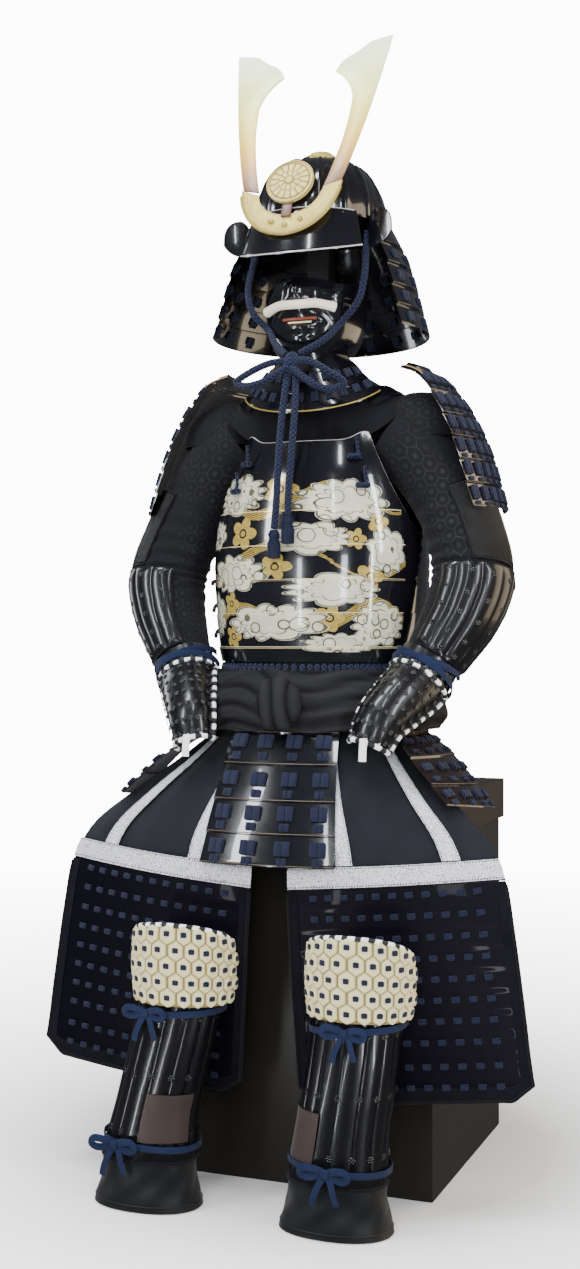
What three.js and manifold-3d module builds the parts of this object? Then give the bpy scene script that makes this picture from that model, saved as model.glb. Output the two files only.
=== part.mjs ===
// Samurai armour in its seated, worn form with no wearer, on its storage chest.
// Millimetres, +Z up. The origin is the middle of the chest's underside. The
// front faces -Y, and +X is to the right of someone who looks at the front.

import * as THREE from 'three';
import { mergeVertices } from 'three/addons/utils/BufferGeometryUtils.js';
import Module from 'manifold-3d';

const wasm = await Module();
wasm.setup();

// Sizes that several pieces share
const SEAM = 0.4;
const CLOTH = 2;
const PLATE = 2.4;
const STEP = 1.8;
const SIDES = [['left', -1], ['right', 1]];

// Storage chest
const CHEST = { wide: 456, deep: 411, high: 583, board: 12 };
const LID = { wide: 470, deep: 425, skirt: 52, top: 597 };

// Torso and its levels, from the cuirass's lower edge to the neck
const TORSO_Y = -62;
const CUIRASS_LEVELS = [
  { z: 804, a: 164, b: 124 },
  { z: 826, a: 167, b: 126 },
  { z: 879, a: 171, b: 130 },
  { z: 931, a: 174, b: 131 },
  { z: 984, a: 174, b: 129 },
  { z: 1038, a: 166, b: 123 },
  { z: 1093, a: 150, b: 112 },
  { z: 1160, a: 128, b: 90 },
];
const PLATE_LINES = [826, 879, 931, 984, 1038, 1093];

// Helmet
const BOWL = { y: -65, z: 1500, high: 108, a: 105, b: 126, hole: 83, ribs: 16, rib: 2.4 };
const VISOR = { reach: 53, clear: 4.4, top: 1506, edgeZ: 1431, droop: 17, a: 128, b: 156 };
const NECK_GUARD = [
  { z: 1326, a: 172, b: 176 },
  { z: 1359, a: 163, b: 168 },
  { z: 1392, a: 154, b: 160 },
  { z: 1427, a: 144, b: 152 },
  { z: 1462, a: 130, b: 143 },
  { z: 1506, a: 111, b: 132 },
];

// Finishes by name
const LACQUER = { color: 0x0c0c0f, roughness: 0.16, metalness: 0.1 };
const LACE = { color: 0x16203f, roughness: 0.85, metalness: 0 };
const BROCADE = { color: 0x1b1b1f, roughness: 0.8, metalness: 0 };
const SILVER_BAND = { color: 0xb9b6b4, roughness: 0.7, metalness: 0.1 };
const GILT = { color: 0xcbb877, roughness: 0.32, metalness: 0.9 };
const BONE = { color: 0xe4ddcd, roughness: 0.5, metalness: 0 };
const QUILT = { color: 0xd8cfae, roughness: 0.8, metalness: 0 };
const WOOD = { color: 0x2a211c, roughness: 0.45, metalness: 0 };

const armour = new THREE.Group();
const mix = THREE.MathUtils.lerp;
const rad = THREE.MathUtils.degToRad;

function add(name, geometry, finish) {
  const mesh = new THREE.Mesh(geometry, new THREE.MeshStandardMaterial(finish));
  mesh.name = name;
  armour.add(mesh);
  return mesh;
}

// Evenly spaced places from one end of a piece to the other
function evenly(count, from = 0, to = 1) {
  return Array.from({ length: count + 1 }, (_, i) => mix(from, to, i / count));
}

// A place just before and just after each line, so a wall can step there
function stepped(lines, gap = 0.006) {
  return lines.flatMap((line) => [line - gap, line + gap]);
}

function between(a, b, c, d, k) {
  const slopeB = (c - a) / 2;
  const slopeC = (d - b) / 2;
  const k2 = k * k;
  const k3 = k2 * k;
  return (2 * k3 - 3 * k2 + 1) * b + (k3 - 2 * k2 + k) * slopeB
    + (3 * k2 - 2 * k3) * c + (k3 - k2) * slopeC;
}

// Every named column of a table, read on a smooth curve through its rows
function read(table, t) {
  const last = table.length - 1;
  const place = Math.min(Math.max(t, 0), 1) * last;
  const row = Math.min(Math.floor(place), last - 1);
  const rows = [row - 1, row, row + 1, row + 2]
    .map((i) => table[Math.min(Math.max(i, 0), last)]);
  const values = {};
  for (const column of Object.keys(table[0])) {
    values[column] = between(...rows.map((r) => r[column]), place - row);
  }
  return values;
}

// The columns of a table of levels, read at a height
function readAt(levels, z) {
  let i = 0;
  while (i < levels.length - 2 && z > levels[i + 1].z) i += 1;
  const k = (z - levels[i].z) / (levels[i + 1].z - levels[i].z);
  return read(levels, (i + k) / (levels.length - 1));
}

// A point on a rounded, slightly squared section; turn 0 is the front middle
function section(turn, a, b, y, z, square = 1) {
  const s = Math.sin(turn);
  const c = Math.cos(turn);
  const x = a * Math.sign(s) * Math.abs(s) ** square;
  return new THREE.Vector3(x, y - b * Math.sign(c) * Math.abs(c) ** square, z);
}

// The outward direction of a surface at one place
function facing(at, s, t, side) {
  const reach = 0.004;
  const across = at(s + reach, t).sub(at(s - reach, t));
  const t0 = Math.max(t - reach, 0);
  const t1 = Math.min(t + reach, 1);
  const along = at(s, t1).sub(at(s, t0));
  return across.cross(along).normalize().multiplyScalar(side);
}

// The same surface, moved out by a distance
function lifted(at, distance, side = 1) {
  return (s, t) => at(s, t).addScaledVector(facing(at, s, t, side), distance);
}

// A thin wall on a surface. The outer face carries the relief and the inner
// face is plain. A closed wall runs once round and is open at both ends.
function wall({ at, across, along, thick = CLOTH, relief = () => 0, closed = false, side = 1 }) {
  const columns = closed ? across.slice(0, -1) : across;
  const n = columns.length;
  const outer = [];
  const inner = [];
  for (const t of along) {
    for (const s of columns) {
      const point = at(s, t);
      const out = facing(at, s, t, side);
      inner.push(point.clone().addScaledVector(out, -thick));
      outer.push(point.addScaledVector(out, relief(s, t)));
    }
  }
  const index = [];
  const quad = (a, b, c, d) => {
    const turned = side > 0 ? [a, b, c, a, c, d] : [a, c, b, a, d, c];
    index.push(...turned);
  };
  const under = outer.length;
  const cells = closed ? n : n - 1;
  for (let j = 0; j < along.length - 1; j += 1) {
    for (let i = 0; i < cells; i += 1) {
      const a = j * n + i;
      const b = j * n + (i + 1) % n;
      quad(a, b, b + n, a + n);
      quad(under + b, under + a, under + a + n, under + b + n);
    }
  }
  const top = (along.length - 1) * n;
  for (let i = 0; i < cells; i += 1) {
    const k = (i + 1) % n;
    quad(under + i, under + k, k, i);
    quad(top + i, top + k, under + top + k, under + top + i);
  }
  if (!closed) {
    for (let j = 0; j < along.length - 1; j += 1) {
      const a = j * n;
      const b = a + n - 1;
      quad(under + a, a, a + n, under + a + n);
      quad(b, under + b, under + b + n, b + n);
    }
  }
  const geometry = new THREE.BufferGeometry();
  const points = [...outer, ...inner].flatMap((p) => [p.x, p.y, p.z]);
  geometry.setAttribute('position', new THREE.Float32BufferAttribute(points, 3));
  geometry.setIndex(index);
  geometry.computeVertexNormals();
  return geometry;
}

// Relief of overlapping plates: each stands proud at its lower edge
function shingles(lines, depth, lowestFirst = true) {
  return (s, t) => {
    const bounds = [0, ...lines, 1];
    let i = 0;
    while (i < bounds.length - 2 && t > bounds[i + 1]) i += 1;
    const k = (t - bounds[i]) / (bounds[i + 1] - bounds[i]);
    return depth * (lowestFirst ? 1 - k : k);
  };
}

// A round cord along a smooth route
function cord(route, across, sides = 8) {
  const curve = new THREE.CatmullRomCurve3(route.map((p) => new THREE.Vector3(...p)));
  const ring = new THREE.Shape();
  ring.absarc(0, 0, across / 2, 0, 2 * Math.PI);
  const steps = Math.max(4, Math.round(curve.getLength() / (across * 2.8)));
  return new THREE.ExtrudeGeometry(ring, {
    steps, curveSegments: sides, bevelEnabled: false, extrudePath: curve,
  });
}

// A flat plate from an outline in X and Z, facing -Y
function plate(outline, thick) {
  const geometry = new THREE.ExtrudeGeometry(outline, {
    depth: thick, curveSegments: 5, steps: 1, bevelEnabled: false,
  });
  geometry.rotateX(Math.PI / 2);
  return geometry;
}

function toSolid(geometry) {
  const bare = geometry.clone();
  bare.deleteAttribute('normal');
  bare.deleteAttribute('uv');
  const merged = mergeVertices(bare, 1e-4);
  return new wasm.Manifold(new wasm.Mesh({
    numProp: 3,
    vertProperties: merged.attributes.position.array,
    triVerts: new Uint32Array(merged.index.array),
  }));
}

function fromSolid(solid) {
  const mesh = solid.getMesh();
  const geometry = new THREE.BufferGeometry();
  geometry.setAttribute('position', new THREE.BufferAttribute(mesh.vertProperties, 3));
  geometry.setIndex(new THREE.BufferAttribute(mesh.triVerts, 1));
  geometry.computeVertexNormals();
  return geometry;
}

function joined(geometries) {
  return fromSolid(geometries.map(toSolid).reduce((all, one) => all.add(one)));
}

function cut(geometry, tool) {
  return fromSolid(toSolid(geometry).subtract(toSolid(tool)));
}

function box(wide, deep, high, x, y, z) {
  return new THREE.BoxGeometry(wide, deep, high).translate(x, y, z + high / 2);
}

// Chest: an open box of boards under a lid whose skirt hangs over its sides
function buildChest() {
  const { wide, deep, high, board } = CHEST;
  const hollow = box(wide - 2 * board, deep - 2 * board, high, 0, 0, board);
  add('chest_body', cut(box(wide, deep, high, 0, 0, 0), hollow), WOOD);
  const skirtTop = high + SEAM;
  const room = box(wide + 2 * SEAM, deep + 2 * SEAM, LID.skirt + SEAM, 0, 0,
    skirtTop - LID.skirt - SEAM);
  const shell = box(LID.wide, LID.deep, LID.top - skirtTop + LID.skirt, 0, 0,
    skirtTop - LID.skirt);
  add('chest_lid', cut(shell, room), WOOD);
}

// Inner stand: foot board, post, shoulder bar and a domed block for the helmet
const STAND = { y: -62, postTop: 1540, barTop: 1220, barHigh: 60, domeTop: 1603.6, post: 36 };

function buildStand() {
  const { y, postTop, barTop, barHigh, domeTop } = STAND;
  const foot = box(260, 170, 18, 0, y, LID.top + SEAM);
  const post = box(STAND.post, STAND.post, postTop - LID.top, 0, y, LID.top + 10);
  const bar = box(270, 26, barHigh, 0, y, barTop - barHigh);
  const profile = [
    [0, domeTop - 90], [44, domeTop - 90], [58, domeTop - 60],
    [52, domeTop - 24], [30, domeTop], [0, domeTop],
  ].map(([r, z]) => new THREE.Vector2(r, z));
  const dome = new THREE.LatheGeometry(profile, 12);
  dome.rotateX(Math.PI / 2);
  dome.translate(0, BOWL.y, 0);
  add('inner_stand', joined([foot, post, bar, dome]), WOOD);
}

// Helmet bowl: raised ribs run up to a small crown hole
function bowlAt(s, t) {
  const climb = rad(BOWL.hole) * t;
  const shrink = Math.cos(climb) ** 0.62;
  const z = BOWL.z + BOWL.high * Math.sin(climb);
  return section(2 * Math.PI * s, BOWL.a * shrink, BOWL.b * shrink, BOWL.y, z);
}

function buildHelmet() {
  const rib = (s) => BOWL.rib * Math.abs(Math.cos(Math.PI * BOWL.ribs * s));
  add('helmet_bowl', wall({
    at: bowlAt, across: evenly(2 * BOWL.ribs), along: evenly(5), relief: rib,
    thick: PLATE, closed: true,
  }), LACQUER);

  const crownZ = BOWL.z + BOWL.high * Math.sin(rad(BOWL.hole)) + BOWL.rib + SEAM;
  const crown = [
    [14, 3], [34, 0], [35, 3], [25, 8], [18, 14], [12, 15],
  ].map(([r, z]) => new THREE.Vector2(r, crownZ + z));
  crown.push(crown[0].clone());
  const ring = new THREE.LatheGeometry(crown, 12);
  ring.rotateX(Math.PI / 2);
  ring.translate(0, BOWL.y, 0);
  add('crown_ring', ring, GILT);

  const visorAt = (s, t) => {
    const turn = rad(mix(-VISOR.reach, VISOR.reach, s));
    const grow = (1 - t) ** 0.8;
    const a = mix(BOWL.a + VISOR.clear, VISOR.a, grow);
    const b = mix(BOWL.b + VISOR.clear, VISOR.b, grow);
    const edge = VISOR.edgeZ + VISOR.droop * (turn / rad(VISOR.reach)) ** 2;
    return section(turn, a, b, BOWL.y, mix(edge, VISOR.top, t));
  };
  add('visor', wall({
    at: visorAt, across: evenly(14), along: evenly(3), thick: PLATE,
  }), LACQUER);

  const from = rad(66);
  const to = 2 * Math.PI - from;
  const neckAt = (s, t) => {
    const level = read(NECK_GUARD, t);
    return section(mix(from, to, s), level.a, level.b, BOWL.y, level.z);
  };
  const lames = [0.2, 0.4, 0.6, 0.8];
  add('neck_guard', wall({
    at: neckAt, across: evenly(14), along: [0, ...stepped(lames), 1],
    relief: shingles(lames, 4), thick: PLATE,
  }), LACQUER);
}

// Turned-back ears beside the visor: a plate rounded at its free edge
const EAR = { wide: 44, high: 58, x: 101, y: -119.2, z: 1455, turn: -18 };

function buildEars() {
  for (const [name, hand] of SIDES) {
    const outline = new THREE.Shape();
    outline.moveTo(0, 0);
    outline.quadraticCurveTo(EAR.wide * 0.7, -4, EAR.wide, EAR.high * 0.32);
    outline.quadraticCurveTo(EAR.wide * 1.05, EAR.high, EAR.wide * 0.35, EAR.high);
    outline.quadraticCurveTo(0, EAR.high * 0.9, 0, EAR.high * 0.55);
    outline.closePath();
    const ear = plate(outline, 3);
    ear.rotateZ(rad(EAR.turn));
    if (hand < 0) {
      ear.scale(-1, 1, 1);
      flipLoose(ear);
    }
    ear.translate(hand * EAR.x, EAR.y, EAR.z);
    add(`turnback_${name}`, ear, LACQUER);
  }
}

// Turns every loose triangle over, after a mirror
function flipLoose(geometry) {
  const p = geometry.attributes.position;
  for (let i = 0; i < p.count; i += 3) {
    for (const get of ['X', 'Y', 'Z']) {
      const kept = p[`get${get}`](i);
      p[`set${get}`](i, p[`get${get}`](i + 2));
      p[`set${get}`](i + 2, kept);
    }
  }
}

// Crest: a crescent, two horns and a disc, on a plane that leans back
const CREST = { x: -5, y: -209, z: 1476, lean: 22, thick: 3 };

function seatCrest(geometry, forward = 0) {
  geometry.translate(0, -forward, 0);
  geometry.rotateX(-rad(CREST.lean));
  geometry.translate(CREST.x, CREST.y, CREST.z);
  return geometry;
}

function buildCrest() {
  const base = new THREE.Shape();
  base.moveTo(-84, 72);
  base.bezierCurveTo(-78, 20, -48, -16, 0, -18);
  base.bezierCurveTo(48, -16, 78, 20, 84, 72);
  base.lineTo(54, 64);
  base.bezierCurveTo(52, 36, 32, 17, 0, 16);
  base.bezierCurveTo(-32, 17, -52, 36, -54, 64);
  base.closePath();
  add('crest_base', seatCrest(plate(base, 4)), GILT);

  for (const [name, hand] of SIDES) {
    const horn = new THREE.Shape();
    const bend = (cx, cz, x, z) => horn.quadraticCurveTo(hand * cx, cz, hand * x, z);
    horn.moveTo(hand * 81.5, 71.8);
    bend(112, 180, 133, 345);
    bend(116, 343, 96, 338);
    bend(80, 322, 64, 314);
    bend(50, 306, 44, 287);
    bend(72, 268, 79, 232);
    bend(82, 165, 53.4, 64.3);
    horn.closePath();
    add(`horn_${name}`, seatCrest(plate(horn, CREST.thick), 0.2), GILT);
  }

  const disc = [
    [0, 0], [38, 0], [38, 4], [34, 7], [20, 9], [0, 9.6],
  ].map(([r, z]) => new THREE.Vector2(r, z));
  const face = new THREE.LatheGeometry(disc, 20);
  face.translate(0, 6, 0);
  const stem = box(16, 3, 66, 0, -5.9, 12);
  const round = face.clone().rotateX(Math.PI);
  round.translate(0, 0, 74);
  add('crest_disc', seatCrest(joined([round, stem])), GILT);
}

// Face mask: cheeks, nose and chin of a plain, calm design
const MASK = [
  { z: 1290, a: 60, b: 82 },
  { z: 1306, a: 72, b: 92 },
  { z: 1326, a: 80, b: 99 },
  { z: 1346, a: 84, b: 103 },
  { z: 1366, a: 86, b: 104 },
  { z: 1386, a: 87, b: 101 },
  { z: 1404, a: 87, b: 96 },
];
const MASK_REACH = 82;
const MOUSTACHE = { across: 11, lift: 7.4, reach: 0.22, midT: 0.642, tipT: 0.6 };

function maskAt(s, t) {
  const turn = rad(mix(-MASK_REACH, MASK_REACH, s));
  const level = read(MASK, t);
  const droop = Math.min(Math.abs(turn) / rad(40), 1) ** 2;
  const brow = t ** 3 * 14 * droop * (1 - Math.abs(turn) / 2);
  const point = section(turn, level.a, level.b, BOWL.y, level.z - brow, 0.95);
  const nose = Math.exp(-((turn / rad(11)) ** 2)) * Math.exp(-(((level.z - 1382) / 20) ** 2));
  const cheek = Math.exp(-(((Math.abs(turn) - rad(38)) / rad(14)) ** 2))
    * Math.exp(-(((level.z - 1378) / 14) ** 2));
  const chin = Math.exp(-((turn / rad(18)) ** 2)) * Math.exp(-(((level.z - 1306) / 10) ** 2));
  const mouth = Math.exp(-((turn / rad(24)) ** 2)) * Math.exp(-(((level.z - 1336) / 8) ** 2));
  const out = 24 * nose + 5 * cheek + 5 * chin - 5 * mouth;
  point.x += Math.sin(turn) * out;
  point.y -= Math.cos(turn) * out;
  return point;
}

function buildMask() {
  add('face_mask', wall({
    at: maskAt, across: evenly(16), along: evenly(8), thick: PLATE,
  }), LACQUER);
  const lipAt = lifted(maskAt, MOUSTACHE.lift);
  const lip = evenly(8, -1, 1).map((k) => {
    const t = mix(MOUSTACHE.tipT, MOUSTACHE.midT, Math.cos(1.5 * k));
    return lipAt(0.5 + k * MOUSTACHE.reach, t).toArray();
  });
  add('moustache', cord(lip, MOUSTACHE.across), BONE);

  const throatAt = (s, t) => {
    const turn = rad(mix(-66, 66, s));
    const z = mix(1193 + 34 * (turn / rad(66)) ** 2, MASK[0].z - SEAM, t);
    const a = mix(124, MASK[0].a, t);
    const b = mix(100, MASK[0].b, t);
    return section(turn, a, b, BOWL.y, z, 0.95);
  };
  const lines = [0.34, 0.67];
  add('throat_guard', wall({
    at: throatAt, across: evenly(12), along: [0, ...stepped(lines), 1],
    relief: shingles(lines, 3), thick: PLATE,
  }), LACQUER);
}

// Cuirass: front and back plates, hinged at the left side and tied at the right
function cuirassTop(turn) {
  const away = Math.abs(turn);
  const front = 1148 + 14 * Math.exp(-(((away - rad(46)) / rad(12)) ** 2));
  const back = 1180;
  const arm = 1002;
  if (away < rad(50)) return front;
  if (away > rad(140)) return back;
  const k = (away - rad(50)) / rad(90);
  const rise = k < 0.5 ? front : back;
  return mix(arm, rise, Math.abs(2 * k - 1) ** 2.6);
}

function cuirassAt(turn, level) {
  const top = cuirassTop(turn);
  const { curve, high } = CUIRASS;
  const z = level <= curve ? level : mix(curve, top, (level - curve) / (high - curve));
  const size = readAt(CUIRASS_LEVELS, Math.min(z, high));
  const tuck = Math.max(z - high, 0) * 0.5;
  return section(turn, size.a - tuck, size.b - tuck, TORSO_Y, z, 0.86);
}

const CUIRASS = { low: 804, curve: 931, high: 1160 };
const cuirassLevel = (t) => mix(CUIRASS.low, CUIRASS.high, t);
const cuirassPlace = (z) => (z - CUIRASS.low) / (CUIRASS.high - CUIRASS.low);

// Shoulder cloth: a yoke from the neck to the sleeve heads, under two straps
const YOKE_COLUMNS = 24;
const STRAP = { thick: 2, lift: 4.4, reach: 3 / YOKE_COLUMNS, inner: 0.5, outer: 0.75 };

function yokeAt(s, t) {
  const turn = 2 * Math.PI * s;
  const sideways = Math.sin(turn) ** 2;
  const a = mix(62, 162, t);
  const b = mix(64, 71.2, t);
  const hem = Math.cos(turn) > 0 ? 1136 : 1152;
  const z = mix(1268, mix(hem, 1210, sideways), t ** (1 + 0.6 * (1 - sideways)));
  return section(turn, a, b, TORSO_Y, z, mix(1, 0.75, t));
}

function buildTorso() {
  const lines = PLATE_LINES.map(cuirassPlace);
  const frontAt = (s, t) => cuirassAt(rad(mix(-89.8, 89.8, s)), cuirassLevel(t));
  add('cuirass_front', wall({
    at: frontAt, across: evenly(12), along: [0, ...stepped(lines, 0.003), 1],
    relief: shingles(lines, STEP, false), thick: PLATE,
  }), LACQUER);

  const backAt = (s, t) => {
    const degrees = mix(90.2, 269.8, s);
    return cuirassAt(rad(degrees > 180 ? degrees - 360 : degrees), cuirassLevel(t));
  };
  add('cuirass_back', wall({
    at: backAt, across: evenly(12), along: evenly(6), thick: PLATE,
  }), LACQUER);

  const strapAt = lifted(yokeAt, STRAP.lift, -1);
  for (const [name, middle] of [['left', 0.75], ['right', 0.25]]) {
    add(`shoulder_strap_${name}`, wall({
      at: strapAt, thick: STRAP.thick, side: -1,
      across: evenly(6, middle - STRAP.reach, middle + STRAP.reach),
      along: [STRAP.inner, STRAP.outer],
    }), LACQUER);
  }

  add('yoke', wall({
    at: yokeAt, across: evenly(YOKE_COLUMNS), along: evenly(4), closed: true, side: -1,
  }), BROCADE);

  const waistAt = (s, t) => {
    const turn = 2 * Math.PI * s;
    return section(turn, mix(176, 160, t), mix(150, 121, t), TORSO_Y, mix(712, 803, t), 0.9);
  };
  const cords = 30;
  const cordRise = 2.4;
  add('waist_lacing', wall({
    at: waistAt, across: evenly(2 * cords), along: evenly(1), closed: true,
    relief: (s) => cordRise * Math.abs(Math.cos(Math.PI * cords * s)), thick: 1.6,
  }), LACE);
}

// Sash: a soft band round the waist, knotted in front
const SASH = [
  { z: 698, a: 192, b: 174 },
  { z: 718, a: 200, b: 179 },
  { z: 742, a: 199, b: 175 },
  { z: 766, a: 188, b: 158 },
  { z: 789, a: 170, b: 132 },
];

function sashAt(s, t) {
  const level = read(SASH, t);
  return section(2 * Math.PI * s, level.a, level.b, TORSO_Y, level.z, 0.92);
}

function buildSash() {
  const fold = (s, t) => 3 * Math.sin(2 * Math.PI * (3 * t + 2 * s)) ** 2;
  add('sash_band', wall({
    at: sashAt, across: evenly(22), along: evenly(6), closed: true, relief: fold, thick: 2.4,
  }), BROCADE);
  const knot = new THREE.SphereGeometry(1, 12, 9);
  const half = { wide: 33, deep: 19, high: 38 };
  knot.scale(half.wide, half.deep, half.high);
  const p = knot.attributes.position;
  for (let i = 0; i < p.count; i += 1) {
    const crease = 1 + 0.1 * Math.cos((p.getX(i) + p.getZ(i)) / 9);
    p.setY(i, p.getY(i) * crease);
  }
  knot.translate(2, TORSO_Y - SASH[1].b - half.deep + 0.6, 740);
  add('sash_knot', knot, BROCADE);
}

// Tassets: laced plates that hang from the waist
const ROUND_TASSETS = {
  front: {
    from: -29, to: 29, lames: 5, columns: 8, rows: [
      { z: 711.4, a: 176, b: 151, y: TORSO_Y },
      { z: 686, a: 181, b: 110, y: -130 },
      { z: 620, a: 196, b: 106, y: -166 },
      { z: 560, a: 210, b: 104, y: -191 },
      { z: 503, a: 222, b: 104, y: -209 },
    ],
  },
  back: {
    from: 150, to: 210, lames: 4, columns: 6, rows: [
      { z: 711.4, a: 176, b: 151, y: TORSO_Y },
      { z: 682, a: 178, b: 158, y: TORSO_Y },
      { z: 656, a: 180, b: 164, y: TORSO_Y },
      { z: 630, a: 182, b: 168, y: TORSO_Y },
      { z: 606, a: 184, b: 172, y: TORSO_Y },
    ],
  },
};

// The side tassets lie out over the lap, between a front and a back edge
const SIDE_TASSET = {
  lames: 4, columns: 5, rows: [
    { z: 712, frontX: 146, frontY: -149, backX: 172, backY: -66, drop: 0, bow: 8 },
    { z: 692, frontX: 158, frontY: -160, backX: 182, backY: -70, drop: 0, bow: 5 },
    { z: 660, frontX: 198, frontY: -220, backX: 230, backY: -90, drop: 2, bow: 10 },
    { z: 624, frontX: 236, frontY: -243, backX: 270, backY: -103, drop: 10, bow: 14 },
    { z: 596, frontX: 262, frontY: -252, backX: 298, backY: -112, drop: 16, bow: 16 },
  ],
};

function tassetWall(at, tasset, side) {
  const lines = evenly(tasset.lames).slice(1, -1);
  return wall({
    at, across: evenly(tasset.columns), along: [0, ...stepped(lines), 1],
    relief: shingles(lines, STEP), thick: PLATE, side,
  });
}

function buildTassets() {
  for (const [name, tasset] of Object.entries(ROUND_TASSETS)) {
    const at = (s, t) => {
      const row = read(tasset.rows, 1 - t);
      return section(rad(mix(tasset.from, tasset.to, s)), row.a, row.b, row.y, row.z);
    };
    add(`tasset_${name}`, tassetWall(at, tasset, 1), LACQUER);
  }
  for (const [name, hand] of SIDES) {
    const at = (s, t) => {
      const row = read(SIDE_TASSET.rows, 1 - t);
      const x = mix(row.frontX, row.backX, s) + row.bow * Math.sin(Math.PI * s);
      return new THREE.Vector3(hand * x, mix(row.frontY, row.backY, s), row.z - row.drop * s);
    };
    add(`tasset_${name}`, tassetWall(at, SIDE_TASSET, hand), LACQUER);
  }
}

// Sleeves: cloth tubes from the shoulder to the wrist, bent at the elbow
const SLEEVE = [
  { x: 126, y: -62, z: 1160, wide: 60, deep: 66 },
  { x: 174, y: -62, z: 1122, wide: 63, deep: 66 },
  { x: 214, y: -68, z: 1064, wide: 59, deep: 62 },
  { x: 243, y: -80, z: 1000, wide: 58, deep: 60 },
  { x: 258, y: -94, z: 940, wide: 59, deep: 60 },
  { x: 246, y: -110, z: 885, wide: 55, deep: 56 },
  { x: 222, y: -130, z: 835, wide: 47, deep: 49 },
  { x: 200, y: -146, z: 794, wide: 40, deep: 40 },
];
const ARM_COLUMNS = 12;
const ARM_ROWS = 14;
const FOLD = 3.4;

// Hand guard: from the cuff over the back of the hand
const HAND = [
  { x: 207.2, y: -142, z: 808, wide: 46.9, deep: 46.9 },
  { x: 191, y: -160, z: 772, wide: 47, deep: 47 },
  { x: 172, y: -194, z: 744, wide: 43, deep: 43 },
  { x: 154, y: -230, z: 714, wide: 37, deep: 33 },
  { x: 142, y: -247, z: 676, wide: 30, deep: 25 },
];

// Sections across a bent path; s runs round, from the outside over the front
function tubeAt(rows, hand) {
  return (s, t) => {
    const row = read(rows, t);
    const before = read(rows, t - 0.02);
    const after = read(rows, t + 0.02);
    const run = new THREE.Vector3(
      after.x - before.x, after.y - before.y, after.z - before.z).normalize();
    const outward = new THREE.Vector3(0, 1, 0).cross(run).normalize();
    if (outward.x < 0) outward.negate();
    const forward = run.clone().cross(outward).normalize();
    if (forward.y > 0) forward.negate();
    const turn = 2 * Math.PI * s;
    const point = new THREE.Vector3(row.x, row.y, row.z)
      .addScaledVector(outward, row.wide * Math.cos(turn))
      .addScaledVector(forward, row.deep * Math.sin(turn));
    point.x *= hand;
    return point;
  };
}

function buildArms() {
  for (const [name, hand] of SIDES) {
    const at = tubeAt(SLEEVE, hand);
    const fold = (s, t) => {
      const bend = Math.exp(-(((t - 0.52) / 0.2) ** 2));
      return FOLD * bend * Math.sin(2 * Math.PI * (8 * t + 1.5 * s)) ** 2;
    };
    add(`sleeve_${name}`, wall({
      at, across: evenly(ARM_COLUMNS), along: evenly(ARM_ROWS), closed: true,
      relief: fold, side: hand,
    }), BROCADE);

    const splints = 6;
    const cover = 2.2;
    const coverAt = lifted(at, FOLD + cover + 4 * SEAM, hand);
    const cell = 1 / ARM_COLUMNS;
    add(`forearm_splints_${name}`, wall({
      at: coverAt, across: evenly(2 * splints, -2 * cell, 4 * cell),
      along: evenly(5, 8 / ARM_ROWS, 13 / ARM_ROWS), thick: cover, side: hand,
      relief: (s) => 3 * Math.abs(Math.sin((Math.PI * (s + 2 * cell)) / cell)),
    }), LACQUER);

    const domed = (s, t) => {
      const half = Math.min(Math.max(s, 0), 0.5);
      return 3 * Math.sin(2 * Math.PI * half) * Math.sin(Math.PI * t);
    };
    add(`hand_guard_${name}`, wall({
      at: tubeAt(HAND, hand), across: evenly(9, -0.02, 0.52), along: evenly(6),
      thick: 2.6, relief: domed, side: hand,
    }), BROCADE);
  }
}

// Shoulder guards: laced lames that curve round the upper arm
const SHOULDER_GUARD = [
  { x: 155.2, y: -40, z: 1266, bow: 10, half: 60 },
  { x: 195.2, y: -38, z: 1250, bow: 16, half: 78 },
  { x: 229.2, y: -38, z: 1210, bow: 20, half: 88 },
  { x: 253.2, y: -38, z: 1168, bow: 22, half: 93 },
  { x: 271.2, y: -40, z: 1126, bow: 24, half: 95 },
  { x: 284.2, y: -42, z: 1084, bow: 24, half: 95 },
  { x: 296.2, y: -44, z: 1042, bow: 24, half: 94 },
];

const SHOULDER_LAMES = 7;

function buildShoulderGuards() {
  for (const [name, hand] of SIDES) {
    const at = (s, t) => {
      const row = read(SHOULDER_GUARD, 1 - t);
      const across = mix(-1, 1, s);
      const back = row.bow * (1 - Math.cos(across * 1.25)) * 1.5;
      return new THREE.Vector3(hand * (row.x - back), row.y + across * row.half, row.z);
    };
    const lines = evenly(SHOULDER_LAMES).slice(1, -1);
    add(`shoulder_guard_${name}`, wall({
      at, across: evenly(6), along: [0, ...stepped(lines), 1],
      relief: shingles(lines, STEP + 0.6), thick: PLATE, side: hand,
    }), LACQUER);
  }
}

// Apron: cloth from the waist over the lap, with plated panels below
const APRON = [
  { z: 710, outerZ: 710, inX: 26, inY: -188, outX: 140, outY: -122, bulge: 10 },
  { z: 655, outerZ: 654, inX: 26, inY: -224, outX: 196, outY: -165, bulge: 18 },
  { z: 590, outerZ: 600, inX: 27, inY: -258, outX: 262, outY: -212, bulge: 22 },
  { z: 528, outerZ: 548, inX: 28, inY: -280, outX: 322, outY: -238, bulge: 22 },
  { z: 464, outerZ: 492, inX: 30, inY: -288, outX: 350, outY: -250, bulge: 18 },
  { z: 387, outerZ: 416, inX: 34, inY: -290, outX: 364, outY: -254, bulge: 16 },
  { z: 310, outerZ: 340, inX: 38, inY: -288, outX: 375, outY: -256, bulge: 14 },
  { z: 233, outerZ: 264, inX: 43, inY: -286, outX: 385, outY: -258, bulge: 12 },
  { z: 152, outerZ: 182, inX: 47, inY: -284, outX: 394, outY: -259, bulge: 10 },
];
const APRON_CELLS = 12;
const APRON_PLATES = 5;
const BAND_TOP = 3.5 / 8;
const PANEL_TOP = 4 / 8;
const BAND = { thick: 1.2, lift: 2 };
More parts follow.
